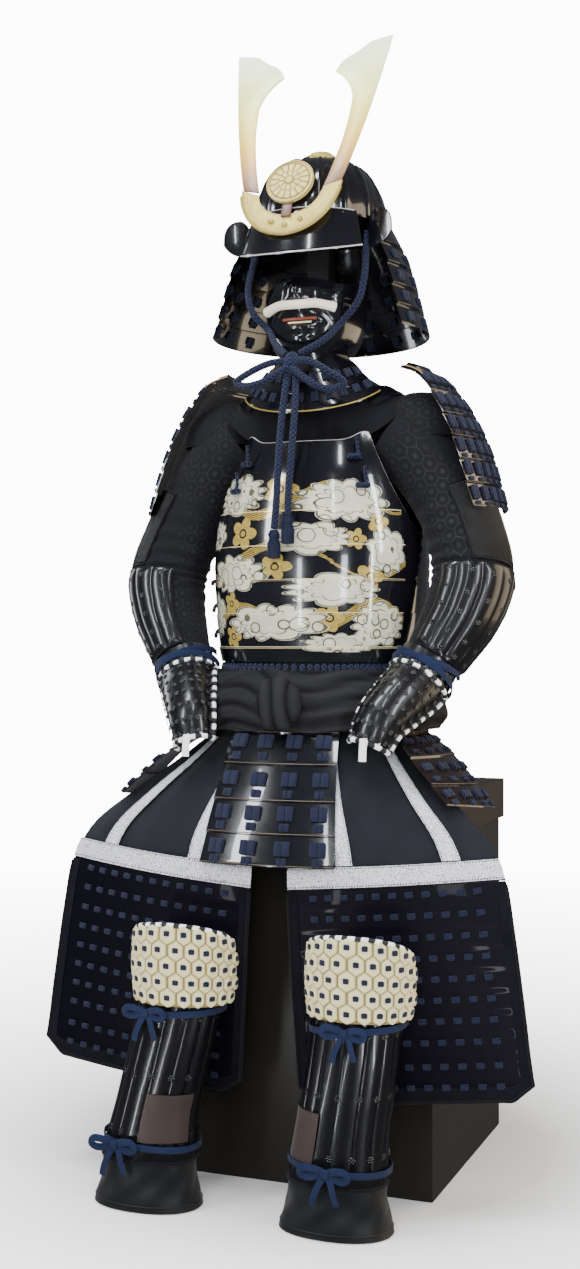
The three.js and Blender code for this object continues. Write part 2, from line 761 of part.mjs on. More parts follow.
const CORNER = { wide: 1 / APRON_CELLS, high: 24 };

function apronAt(hand) {
  return (s, t) => {
    const row = read(APRON, t);
    const atCorner = Math.max(1 - Math.min(s, 1 - s) / CORNER.wide, 0);
    const low = Math.max((t - 0.9) / 0.1, 0);
    const z = mix(row.z, row.outerZ, s) + CORNER.high * atCorner * low;
    const y = mix(row.inY, row.outY, s) - row.bulge * Math.sin(Math.PI * s);
    return new THREE.Vector3(hand * mix(row.inX, row.outX, s), y, z);
  };
}

function buildApron() {
  for (const [name, hand] of SIDES) {
    const at = apronAt(hand);
    const cloth = evenly(APRON_CELLS);
    add(`apron_cloth_${name}`, wall({
      at, across: cloth, along: [...evenly(6, 0, BAND_TOP), PANEL_TOP - 0.0004],
      side: -hand,
    }), BROCADE);

    const plates = evenly(APRON_PLATES, PANEL_TOP, 1).slice(1, -1);
    const overlapped = (s, t) => {
      const atEdge = s < 0.04 || s > 0.96 || t > 0.985;
      const down = (APRON_PLATES * (t - PANEL_TOP)) / (1 - PANEL_TOP);
      return atEdge ? 0 : 1 + 1.6 * (down % 1);
    };
    add(`apron_plates_${name}`, wall({
      at, across: cloth, along: [PANEL_TOP + 0.0004, ...stepped(plates, 0.004), 1],
      relief: overlapped, thick: 3, side: -hand,
    }), LACQUER);

    const raised = lifted(at, BAND.lift, -hand);
    add(`band_across_${name}`, wall({
      at: raised, across: cloth, along: [BAND_TOP, PANEL_TOP - 0.004],
      thick: BAND.thick, side: -hand,
    }), SILVER_BAND);
    const cell = 1 / APRON_CELLS;
    for (const [which, start] of [['inner', 3], ['outer', 9]]) {
      add(`band_${which}_${name}`, wall({
        at: raised, across: [start * cell, (start + 1) * cell],
        along: evenly(6, 0, BAND_TOP).slice(1).map((t) => Math.min(t, BAND_TOP - 0.004)),
        thick: BAND.thick, side: -hand,
      }), SILVER_BAND);
    }
  }
}

// Shin guards: splinted tubes that stand in front, each with a quilted knee
const LEGS = {
  left: [
    { x: -166, y: -352, z: 76, wide: 72, deep: 50 },
    { x: -154, y: -352, z: 140, wide: 63, deep: 48 },
    { x: -139, y: -352, z: 200, wide: 62, deep: 48 },
    { x: -123, y: -352, z: 262, wide: 62, deep: 48 },
    { x: -108, y: -352, z: 326, wide: 61, deep: 47 },
  ],
  right: [
    { x: 132, y: -354, z: 76, wide: 72, deep: 50 },
    { x: 140, y: -354, z: 140, wide: 65, deep: 48 },
    { x: 149, y: -354, z: 200, wide: 64, deep: 48 },
    { x: 158, y: -354, z: 262, wide: 63, deep: 48 },
    { x: 166, y: -354, z: 326, wide: 62, deep: 47 },
  ],
};
const KNEE = { hexes: 7, rows: 4, low: 310, high: 426, lift: { left: 10.2, right: 8.8 }, reach: 104, arch: 34, lean: 6 };

// The flared foot cover's inner edge is this much lower than its outer edge
const FOOT_LOW = 1.06;

function buildLegs() {
  for (const [name] of SIDES) {
    const rows = LEGS[name];
    const legAt = (s, t) => {
      const row = read(rows, t);
      const point = section(2 * Math.PI * s, row.wide, row.deep, row.y, row.z, 0.9);
      point.x += row.x;
      return point;
    };
    const splints = 7;
    add(`shin_guard_${name}`, wall({
      at: legAt, across: evenly(4 * splints), along: evenly(4), closed: true, thick: 3,
      relief: (s) => (Math.cos(2 * Math.PI * s) > 0
        ? 3 * Math.abs(Math.sin(Math.PI * 2 * splints * s)) : 0),
    }), LACQUER);

    const foot = rows[0];
    const coverAt = (s, t) => {
      const flare = 12 * (1 - t) ** 2;
      const point = section(2 * Math.PI * s, foot.wide + flare, foot.deep + flare * 0.6,
        foot.y + 4 * (1 - t), mix(FOOT_LOW, foot.z - 3 * SEAM, t), 0.9);
      point.x += foot.x - 4 * (1 - t);
      return point;
    };
    add(`foot_cover_${name}`, wall({
      at: coverAt, across: evenly(16), along: evenly(2), closed: true, thick: 3,
    }), BROCADE);

    const top = rows[rows.length - 1];
    const kneeAt = (s, t) => {
      const turn = rad(mix(-KNEE.reach, KNEE.reach, s));
      const arch = KNEE.arch * (2 * s - 1) ** 2;
      const z = mix(KNEE.low, KNEE.high - arch, t);
      const out = KNEE.lift[name] + 4 * Math.sin(Math.PI * t * 0.9);
      const point = section(turn, top.wide + out, top.deep + out, top.y - KNEE.lean * t, z, 0.9);
      point.x += top.x + 3 * t;
      return point;
    };
    const bump = (s, t) => {
      const column = Math.round(s * 2 * KNEE.hexes);
      const row = Math.round(t * 2 * KNEE.rows);
      const inner = row > 0 && row < 2 * KNEE.rows && column > 0 && column < 2 * KNEE.hexes;
      const odd = ((row - 1) / 2) % 2;
      return inner && row % 2 === 1 && column % 2 === odd ? 5 : 0;
    };
    add(`knee_guard_${name}`, wall({
      at: kneeAt, across: evenly(2 * KNEE.hexes), along: evenly(2 * KNEE.rows), thick: 3,
      relief: bump,
    }), QUILT);
  }
}

// Chin cord: two held runs, a bow under the chin, and two hanging ends
const CHIN = {
  across: 11,
  right: [
    [95, -112, 1480], [95.1, -119, 1450], [98, -136, 1404], [90, -142, 1366],
    [61.8, -140.8, 1334], [41, -160, 1306], [5.6, -180.4, 1281.2],
  ],
  left: [
    [-95, -112, 1480], [-95.1, -120, 1448], [-97, -140, 1396], [-86, -146, 1358],
    [-61.6, -139.6, 1330], [-42, -161, 1304], [-15.9, -180.3, 1281.4],
  ],
  endLeft: [
    [-13, -181, 1250.6], [-17, -190, 1200], [-19, -198, 1150], [-20, -204, 1100],
    [-22, -206, 1050], [-26, -206, 1008],
  ],
  endRight: [
    [1, -181, 1247.2], [3, -190, 1200], [2, -198, 1150], [0, -204, 1100],
    [-2, -206, 1060], [-3, -206, 1030],
  ],
};

function buildChinCord() {
  add('chin_cord_left', cord(CHIN.left, CHIN.across), LACE);
  add('chin_cord_right', cord(CHIN.right, CHIN.across), LACE);
  const knot = new THREE.SphereGeometry(1, 12, 8).scale(14, 11, 18).translate(-5, -181, 1268);
  const loopLeft = cord([
    [-8, -184, 1272], [-42, -188, 1268], [-78, -184, 1256], [-101, -177, 1244],
    [-80, -184, 1236], [-46, -190, 1242], [-10, -188, 1262],
  ], CHIN.across);
  const loopRight = cord([
    [-4, -184, 1272], [26, -188, 1268], [54, -184, 1252], [77, -172, 1234],
    [56, -182, 1224], [30, -190, 1234], [-4, -188, 1260],
  ], CHIN.across);
  add('chin_bow', joined([knot, loopLeft, loopRight]), LACE);
  for (const [name, route] of [['left', CHIN.endLeft], ['right', CHIN.endRight]]) {
    add(`chin_end_${name}`, cord(route, CHIN.across), LACE);
    const [x, y, z] = route[route.length - 1];
    const profile = [
      [0, 0], [5.4, -0.4], [9, -8], [7, -14], [10, -24], [9.4, -44], [0, -46],
    ].map(([r, down]) => new THREE.Vector2(r, down));
    const tassel = new THREE.LatheGeometry(profile.reverse(), 10);
    tassel.rotateX(Math.PI / 2);
    tassel.translate(x, y, z - SEAM - 0.4);
    add(`chin_tassel_${name}`, tassel, LACE);
  }
}

buildChest();
buildStand();
buildHelmet();
buildEars();
buildCrest();
buildMask();
buildTorso();
buildSash();
buildTassets();
buildArms();
buildShoulderGuards();
buildApron();
buildLegs();
buildChinCord();

export default armour;
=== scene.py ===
# Looks of the seated samurai armour on its storage chest, for Blender 4.5.
# Tables hold the part's own sizes in millimetres. Meshes are made in metres,
# +Z up, with the front of the armour towards -Y.

import math

import bmesh
import bpy
import numpy as np
from mathutils import Matrix, Vector


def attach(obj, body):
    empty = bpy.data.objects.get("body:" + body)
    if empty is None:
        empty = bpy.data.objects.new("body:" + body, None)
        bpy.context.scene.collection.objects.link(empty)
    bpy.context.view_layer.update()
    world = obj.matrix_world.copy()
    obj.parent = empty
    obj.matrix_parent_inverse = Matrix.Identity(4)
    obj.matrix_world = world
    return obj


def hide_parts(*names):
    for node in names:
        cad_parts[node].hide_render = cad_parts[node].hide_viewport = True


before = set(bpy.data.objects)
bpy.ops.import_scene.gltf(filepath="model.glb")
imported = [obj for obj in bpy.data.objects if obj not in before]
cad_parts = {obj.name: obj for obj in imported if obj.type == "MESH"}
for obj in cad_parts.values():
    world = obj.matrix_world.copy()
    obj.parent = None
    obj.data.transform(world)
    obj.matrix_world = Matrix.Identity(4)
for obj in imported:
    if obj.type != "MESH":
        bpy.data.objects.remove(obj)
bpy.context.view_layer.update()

MM = 0.001
TURN = 2 * math.pi
SIDES = (("left", -1), ("right", 1))


# Camera of the photograph

def place_camera():
    data = bpy.data.cameras.new("camera")
    data.sensor_width = 36
    data.lens = 44.48
    data.clip_end = 50
    camera = bpy.data.objects.new("camera", data)
    camera.location = (0.882, -2.4545, 0.8365)
    camera.rotation_euler = (math.radians(90.2), 0, math.radians(21.4))
    bpy.context.scene.collection.objects.link(camera)
    bpy.context.scene.camera = camera


place_camera()


# Tables with named columns, read on a smooth curve through their rows

def table(columns, *rows):
    names = columns.split()
    return [dict(zip(names, row)) for row in rows]


def mix(a, b, k):
    return a + (b - a) * k


def clamp(value, low=0.0, high=1.0):
    return min(max(value, low), high)


def smooth(value):
    k = clamp(value)
    return k * k * (3 - 2 * k)


def evenly(count, start=0.0, end=1.0):
    return [mix(start, end, i / count) for i in range(count + 1)]


def between(a, b, c, d, k):
    slope_b = (c - a) / 2
    slope_c = (d - b) / 2
    return ((2 * k**3 - 3 * k**2 + 1) * b + (k**3 - 2 * k**2 + k) * slope_b
            + (3 * k**2 - 2 * k**3) * c + (k**3 - k**2) * slope_c)


def read(rows, t):
    last = len(rows) - 1
    place = clamp(t) * last
    i = min(int(place), last - 1)
    near = [rows[min(max(j, 0), last)] for j in (i - 1, i, i + 1, i + 2)]
    return {name: between(*(row[name] for row in near), place - i) for name in rows[0]}


def read_at(levels, z):
    i = 0
    while i < len(levels) - 2 and z > levels[i + 1]["z"]:
        i += 1
    k = (z - levels[i]["z"]) / (levels[i + 1]["z"] - levels[i]["z"])
    return read(levels, (i + k) / (len(levels) - 1))


def section(turn, a, b, y, z, square=1.0):
    s = math.sin(turn)
    c = math.cos(turn)
    x = a * math.copysign(abs(s) ** square, s)
    return (x, y - b * math.copysign(abs(c) ** square, c), z)


def through(route, t):
    """A place on a smooth line through a list of points."""
    last = len(route) - 1
    place = clamp(t) * last
    i = min(int(place), last - 1)
    near = [Vector(route[min(max(j, 0), last)]) for j in (i - 1, i, i + 1, i + 2)]
    return between(*near, place - i)


# Node helpers

def node(tree, kind, inputs=None, **settings):
    made = tree.nodes.new(kind)
    for name, value in settings.items():
        setattr(made, name, value)
    for name, value in (inputs or {}).items():
        socket = made.inputs[name]
        if isinstance(value, bpy.types.NodeSocket):
            tree.links.new(value, socket)
        else:
            socket.default_value = value
    return made


def calc(tree, operation, *values):
    made = tree.nodes.new("ShaderNodeMath")
    made.operation = operation
    for socket, value in zip(made.inputs, values):
        if isinstance(value, bpy.types.NodeSocket):
            tree.links.new(value, socket)
        else:
            socket.default_value = value
    return made.outputs[0]


def vector(tree, operation, *values, output="Vector"):
    made = tree.nodes.new("ShaderNodeVectorMath")
    made.operation = operation
    for socket, value in zip(made.inputs, values):
        if isinstance(value, bpy.types.NodeSocket):
            tree.links.new(value, socket)
        else:
            socket.default_value = value
    return made.outputs[output]


def blend(tree, factor, a, b):
    made = node(tree, "ShaderNodeMix", data_type="RGBA")
    for socket, value in zip((made.inputs[0], made.inputs[6], made.inputs[7]), (factor, a, b)):
        if isinstance(value, bpy.types.NodeSocket):
            tree.links.new(value, socket)
        else:
            socket.default_value = value
    return made.outputs[2]


def uv_of(tree):
    return node(tree, "ShaderNodeUVMap", uv_map="UVMap").outputs[0]


def object_of(tree):
    return node(tree, "ShaderNodeTexCoord").outputs["Object"]


def new_material(name, shader):
    material = bpy.data.materials.new(name)
    material.use_nodes = True
    tree = material.node_tree
    bsdf = tree.nodes["Principled BSDF"]
    for socket, value in shader.items():
        bsdf.inputs[socket].default_value = value
    return material, tree, bsdf


def bump(tree, bsdf, height, strength, distance=0.001):
    made = node(tree, "ShaderNodeBump", {"Height": height, "Strength": strength,
                                         "Distance": distance})
    tree.links.new(made.outputs[0], bsdf.inputs["Normal"])


# Shared effects as node groups

def new_group(name, inputs, outputs):
    group = bpy.data.node_groups.new(name, "ShaderNodeTree")
    for socket, kind in inputs.items():
        group.interface.new_socket(socket, in_out="INPUT", socket_type=kind)
    for socket, kind in outputs.items():
        group.interface.new_socket(socket, in_out="OUTPUT", socket_type=kind)
    enter = group.nodes.new("NodeGroupInput")
    leave = group.nodes.new("NodeGroupOutput")
    return group, enter, leave


def make_weave_group():
    """Crossing threads: height from 0 to 1, at a pitch in metres."""
    group, enter, leave = new_group(
        "weave", {"Vector": "NodeSocketVector", "Pitch": "NodeSocketFloat"},
        {"Height": "NodeSocketFloat"})
    scaled = vector(group, "DIVIDE", enter.outputs["Vector"], enter.outputs["Pitch"])
    parts = node(group, "ShaderNodeSeparateXYZ", {0: scaled})
    across = calc(group, "SINE", calc(group, "MULTIPLY", parts.outputs[0], TURN))
    along = calc(group, "SINE", calc(group, "MULTIPLY", parts.outputs[1], TURN))
    product = calc(group, "MULTIPLY", across, along)
    height = calc(group, "MULTIPLY_ADD", product, 0.5, 0.5)
    group.links.new(height, leave.inputs["Height"])
    return group


def make_hexagon_group():
    """Lines of a hexagon net: 1 on a line and 0 inside a cell."""
    group, enter, leave = new_group(
        "hexagons", {"Vector": "NodeSocketVector", "Pitch": "NodeSocketFloat"},
        {"Line": "NodeSocketFloat", "Centre": "NodeSocketFloat"})
    scaled = vector(group, "DIVIDE", enter.outputs["Vector"], enter.outputs["Pitch"])
    tall = math.sqrt(3)
    zero = (0.0, 0.0, 0.0)
    step = (1.0, tall, 1.0)
    half = (0.5, tall / 2, 0.5)
    flat = vector(group, "MULTIPLY", scaled, (1.0, 1.0, 0.0))
    first = vector(group, "SUBTRACT", vector(group, "WRAP", flat, step, zero), half)
    moved = vector(group, "WRAP", vector(group, "ADD", flat, half), step, zero)
    second = vector(group, "SUBTRACT", moved, half)
    first = vector(group, "MULTIPLY", first, (1.0, 1.0, 0.0))
    second = vector(group, "MULTIPLY", second, (1.0, 1.0, 0.0))
    shorter = calc(group, "LESS_THAN", vector(group, "LENGTH", first, output="Value"),
                   vector(group, "LENGTH", second, output="Value"))
    chosen = node(group, "ShaderNodeMix", data_type="VECTOR")
    group.links.new(shorter, chosen.inputs[0])
    group.links.new(second, chosen.inputs[4])
    group.links.new(first, chosen.inputs[5])
    folded = vector(group, "ABSOLUTE", chosen.outputs[1])
    slanted = vector(group, "DOT_PRODUCT", folded, (0.5, tall / 2, 0.0), output="Value")
    parts = node(group, "ShaderNodeSeparateXYZ", {0: folded})
    away = calc(group, "MAXIMUM", slanted, parts.outputs[0])
    line = node(group, "ShaderNodeMapRange", {"Value": away, "From Min": 0.43, "From Max": 0.48})
    centre = node(group, "ShaderNodeMapRange", {"Value": away, "From Min": 0.2, "From Max": 0.14})
    group.links.new(line.outputs[0], leave.inputs["Line"])
    group.links.new(centre.outputs[0], leave.inputs["Centre"])
    return group


WEAVE = make_weave_group()
HEXAGONS = make_hexagon_group()


def use_group(tree, group, pitch):
    made = tree.nodes.new("ShaderNodeGroup")
    made.node_tree = group
    tree.links.new(uv_of(tree), made.inputs["Vector"])
    made.inputs["Pitch"].default_value = pitch
    return made


# Materials

def lacquer(name, colour=(0.004, 0.004, 0.006), rough=0.13, wave=0.12, coat=1.0, gloss=0.5):
    material, tree, bsdf = new_material(name, {
        "Base Color": (*colour, 1), "Roughness": rough, "Coat Weight": coat,
        "Coat Roughness": 0.04, "Specular IOR Level": gloss})
    noise = node(tree, "ShaderNodeTexNoise", {"Vector": object_of(tree), "Scale": 14.0,
                                              "Detail": 2.0})
    bump(tree, bsdf, noise.outputs["Fac"], wave, 0.004)
    dust = node(tree, "ShaderNodeTexNoise", {"Vector": object_of(tree), "Scale": 160.0,
                                             "Detail": 3.0})
    shade = node(tree, "ShaderNodeMapRange", {"Value": dust.outputs["Fac"], "To Min": rough,
                                              "To Max": rough + 0.12})
    tree.links.new(shade.outputs[0], bsdf.inputs["Roughness"])
    return material


def cloth(name, colour, pitch=0.0011, rough=0.85, sheen=0.25, strength=0.35, patch=0.35):
    material, tree, bsdf = new_material(name, {
        "Base Color": (*colour, 1), "Roughness": rough, "Sheen Weight": sheen,
        "Sheen Roughness": 0.5, "Specular IOR Level": 0.2})
    weave = use_group(tree, WEAVE, pitch)
    bump(tree, bsdf, weave.outputs["Height"], strength, 0.0006)
    noise = node(tree, "ShaderNodeTexNoise", {"Vector": object_of(tree), "Scale": 22.0,
                                              "Detail": 4.0})
    dark = tuple(c * (1 - patch) for c in colour)
    light = tuple(min(c * (1 + patch), 1.0) for c in colour)
    tone = blend(tree, noise.outputs["Fac"], (*dark, 1), (*light, 1))
    tree.links.new(tone, bsdf.inputs["Base Color"])
    return material


def quilted(name, colour, groove_shade, rough=0.8, depths=(0.9, 3.0)):
    """Raised work with painted shade: darker where its grooves lie deep."""
    material, tree, bsdf = new_material(name, {
        "Base Color": (*colour, 1), "Roughness": rough, "Specular IOR Level": 0.3})
    weave = use_group(tree, WEAVE, 0.0013)
    bump(tree, bsdf, weave.outputs["Height"], 0.25, 0.0006)
    height = node(tree, "ShaderNodeAttribute", attribute_name="relief")
    shade = node(tree, "ShaderNodeMapRange", {"Value": height.outputs["Fac"],
                                              "From Min": depths[0], "From Max": depths[1]})
    tree.links.new(blend(tree, shade.outputs[0], (*groove_shade, 1), (*colour, 1)),
                   bsdf.inputs["Base Color"])
    return material


def hexagon_brocade(name, ground, thread, pitch):
    """Black damask: hexagon outlines catch a little more light than the ground."""
    material, tree, bsdf = new_material(name, {
        "Base Color": (*ground, 1), "Roughness": 0.8, "Sheen Weight": 0.05,
        "Sheen Roughness": 0.45, "Specular IOR Level": 0.25})
    cells = use_group(tree, HEXAGONS, pitch)
    weave = use_group(tree, WEAVE, 0.0012)
    worn = node(tree, "ShaderNodeTexNoise", {"Vector": object_of(tree), "Scale": 9.0,
                                             "Detail": 3.0})
    shown = node(tree, "ShaderNodeMapRange", {"Value": worn.outputs["Fac"], "From Min": 0.42,
                                              "From Max": 0.62})
    figure = calc(tree, "MAXIMUM", cells.outputs["Line"], cells.outputs["Centre"])
    mask = calc(tree, "MULTIPLY", figure, shown.outputs[0])
    colour = blend(tree, mask, (*ground, 1), (*thread, 1))
    tree.links.new(colour, bsdf.inputs["Base Color"])
    satin = node(tree, "ShaderNodeMapRange", {"Value": mask, "To Min": 0.82, "To Max": 0.5})
    tree.links.new(satin.outputs[0], bsdf.inputs["Roughness"])
    height = calc(tree, "MULTIPLY_ADD", mask, 0.6, weave.outputs["Height"])
    bump(tree, bsdf, height, 0.3, 0.0006)
    return material


def braid(name, colour, pitch=0.0042):
    """Silk cord: two crossing lays of thread, with painted shade darkening the low parts between
    them.
    """
    material, tree, bsdf = new_material(name, {
        "Base Color": (*colour, 1), "Roughness": 0.62, "Sheen Weight": 0.08,
        "Sheen Roughness": 0.4, "Specular IOR Level": 0.3})
    parts = node(tree, "ShaderNodeSeparateXYZ", {0: uv_of(tree)})
    u = calc(tree, "MULTIPLY", parts.outputs[0], TURN / pitch)
    v = calc(tree, "MULTIPLY", parts.outputs[1], TURN / pitch)
    rising = calc(tree, "SINE", calc(tree, "ADD", u, v))
    falling = calc(tree, "SINE", calc(tree, "SUBTRACT", u, v))
    height = calc(tree, "MAXIMUM", rising, falling)
    bump(tree, bsdf, height, 0.9, 0.0014)
    # Painted shade: where the lays sink, the cord's colour falls to 0.15 of itself.
    shade = node(tree, "ShaderNodeMapRange", {"Value": height, "From Min": -0.6, "To Min": 0.0})
    dark = tuple(c * 0.15 for c in colour)
    tree.links.new(blend(tree, shade.outputs[0], (*dark, 1), (*colour, 1)),
                   bsdf.inputs["Base Color"])
    return material


def silver_brocade():
    """Silver-white band with a broken weave, and dark stitches near both edges."""
    material, tree, bsdf = new_material("silver_brocade", {
        "Roughness": 0.55, "Metallic": 0.15, "Sheen Weight": 0.2})
    uv = uv_of(tree)
    parts = node(tree, "ShaderNodeSeparateXYZ", {0: uv})
    scaled = vector(tree, "MULTIPLY", uv, (1.0, 2.2, 1.0))
    figure = node(tree, "ShaderNodeTexVoronoi", {"Vector": scaled, "Scale": 190.0},
                  feature="DISTANCE_TO_EDGE")
    line = node(tree, "ShaderNodeMapRange", {"Value": figure.outputs["Distance"],
                                             "From Min": 0.03, "From Max": 0.12})
    noise = node(tree, "ShaderNodeTexNoise", {"Vector": uv, "Scale": 120.0, "Detail": 5.0})
    tone = blend(tree, noise.outputs["Fac"], (0.55, 0.55, 0.6, 1), (0.95, 0.95, 1.0, 1))
    ground = blend(tree, line.outputs[0], (0.3, 0.29, 0.33, 1), tone)
    edge = calc(tree, "ABSOLUTE", parts.outputs[1])
    near = calc(tree, "COMPARE", edge, 0.0118, 0.0009)
    beat = calc(tree, "SINE", calc(tree, "MULTIPLY", parts.outputs[0], TURN / 0.0042))
    stitch = calc(tree, "MULTIPLY", near, calc(tree, "GREATER_THAN", beat, 0.0))
    tree.links.new(blend(tree, stitch, ground, (0.02, 0.02, 0.035, 1)),
                   bsdf.inputs["Base Color"])
    bump(tree, bsdf, calc(tree, "SUBTRACT", line.outputs[0], stitch), 0.4, 0.0006)
    return material


def gilt(name, colour, rough=0.3, hammer=0.0):
    material, tree, bsdf = new_material(name, {
        "Base Color": (*colour, 1), "Metallic": 0.35, "Roughness": rough})
    noise = node(tree, "ShaderNodeTexNoise", {"Vector": object_of(tree), "Scale": 60.0,
                                              "Detail": 4.0})
    worn = tuple(c * 0.72 for c in colour)
    tree.links.new(blend(tree, noise.outputs["Fac"], (*colour, 1), (*worn, 1)),
                   bsdf.inputs["Base Color"])
    if hammer > 0:
        dents = node(tree, "ShaderNodeTexVoronoi", {"Vector": object_of(tree), "Scale": 330.0})
        bump(tree, bsdf, dents.outputs["Distance"], hammer, 0.0008)
    return material


def horn_metal():
    """Polished plate whose tint runs from mauve at the root to pale green-white."""
    material, tree, bsdf = new_material("horn_metal", {"Metallic": 0.05, "Roughness": 0.3})
    parts = node(tree, "ShaderNodeSeparateXYZ", {0: object_of(tree)})
    climb = node(tree, "ShaderNodeMapRange", {"Value": parts.outputs[2], "From Min": 1.535,
                                              "From Max": 1.79})
    tints = node(tree, "ShaderNodeValToRGB", {0: climb.outputs[0]})
    ramp = tints.color_ramp
    stops = ((0.0, (0.12, 0.06, 0.05)), (0.12, (0.3, 0.16, 0.06)), (0.28, (0.62, 0.36, 0.04)),
             (0.5, (0.75, 0.6, 0.1)), (0.72, (0.76, 0.8, 0.3)), (1.0, (0.88, 0.94, 0.64)))
    for place, colour in stops[1:-1]:
        ramp.elements.new(place)
    for element, (place, colour) in zip(ramp.elements, stops):
        element.position = place
        element.color = (*colour, 1)
    tree.links.new(tints.outputs[0], bsdf.inputs["Base Color"])
    return material


def checked_piping():
    """White cord with dark wraps at a steady step along its length."""
    material, tree, bsdf = new_material("checked_piping", {"Roughness": 0.7})
    parts = node(tree, "ShaderNodeSeparateXYZ", {0: uv_of(tree)})
    wobble = node(tree, "ShaderNodeTexNoise", {"Vector": uv_of(tree), "Scale": 90.0})
    along = calc(tree, "MULTIPLY_ADD", wobble.outputs["Fac"], 0.006, parts.outputs[1])
    beat = calc(tree, "SINE", calc(tree, "MULTIPLY", along, TURN / 0.019))
    mask = node(tree, "ShaderNodeMapRange", {"Value": beat, "From Min": -0.1, "From Max": 0.1})
    tree.links.new(blend(tree, mask.outputs[0], (0.012, 0.012, 0.016, 1),
                         (0.85, 0.86, 0.84, 1)), bsdf.inputs["Base Color"])
    fibres = node(tree, "ShaderNodeTexNoise", {"Vector": uv_of(tree), "Scale": 600.0})
    bump(tree, bsdf, fibres.outputs["Fac"], 0.5, 0.0008)
    return material


def mail():
    """Black iron rings on cloth."""
    material, tree, bsdf = new_material("mail", {
        "Base Color": (0.004, 0.004, 0.005, 1), "Metallic": 0.0, "Roughness": 0.25})
    rings = node(tree, "ShaderNodeTexVoronoi", {"Vector": uv_of(tree), "Scale": 230.0,
                                                "Randomness": 0.55})
    away = calc(tree, "ABSOLUTE", calc(tree, "SUBTRACT", rings.outputs["Distance"], 0.42))
    wire = node(tree, "ShaderNodeMapRange", {"Value": away, "From Min": 0.2, "From Max": 0.02})
    bump(tree, bsdf, wire.outputs[0], 1.0, 0.0014)
    tree.links.new(blend(tree, wire.outputs[0], (0.001, 0.001, 0.001, 1),
                         (0.012, 0.012, 0.014, 1)), bsdf.inputs["Base Color"])
    return material


def leather(name, colour):
    material, tree, bsdf = new_material(name, {"Base Color": (*colour, 1), "Roughness": 0.5,
                                               "Sheen Weight": 0.1})
    grain = node(tree, "ShaderNodeTexVoronoi", {"Vector": object_of(tree), "Scale": 900.0})
    broad = node(tree, "ShaderNodeTexNoise", {"Vector": object_of(tree), "Scale": 16.0,
                                              "Detail": 5.0})
    dark = tuple(c * 0.55 for c in colour)
    tree.links.new(blend(tree, broad.outputs["Fac"], (*dark, 1), (*colour, 1)),
                   bsdf.inputs["Base Color"])
    bump(tree, bsdf, grain.outputs["Distance"], 0.15, 0.0005)
    return material


def chest_wood(name, colour, rough=0.42):
    material, tree, bsdf = new_material(name, {"Base Color": (*colour, 1), "Roughness": rough,
                                               "Coat Weight": 0.2, "Coat Roughness": 0.25})
    stretched = vector(tree, "MULTIPLY", object_of(tree), (3.0, 3.0, 0.5))
    grain = node(tree, "ShaderNodeTexNoise", {"Vector": stretched, "Scale": 22.0,
                                              "Detail": 6.0})
    dark = tuple(c * 0.7 for c in colour)
    tree.links.new(blend(tree, grain.outputs["Fac"], (*dark, 1), (*colour, 1)),
                   bsdf.inputs["Base Color"])
    bump(tree, bsdf, grain.outputs["Fac"], 0.05, 0.001)
    return material


# Cuirass picture: cream clouds and gold streams and blossoms, of a plain
# traditional kind. Places are metres on the front, from its lower middle.
CLOUDS = (
    (-0.105, 0.262, 0.06, 0.028), (0.07, 0.248, 0.07, 0.028), (-0.15, 0.2, 0.03, 0.02),
    (0.02, 0.19, 0.05, 0.022), (0.135, 0.17, 0.035, 0.03), (-0.095, 0.138, 0.06, 0.024),
    (0.055, 0.112, 0.06, 0.022), (-0.15, 0.075, 0.03, 0.03), (-0.03, 0.062, 0.07, 0.024),
    (0.125, 0.058, 0.045, 0.03), (0.06, 0.028, 0.05, 0.014),
)
BLOSSOMS = (
    (-0.02, 0.268, 0.024), (0.12, 0.215, 0.02), (-0.075, 0.2, 0.026), (-0.02, 0.148, 0.02),
    (0.105, 0.132, 0.024), (-0.1, 0.092, 0.019), (0.045, 0.068, 0.022), (-0.1, 0.04, 0.02),
    (0.082, 0.188, 0.017),
)
PLATE_EDGES = (0.022, 0.075, 0.127, 0.18, 0.234)


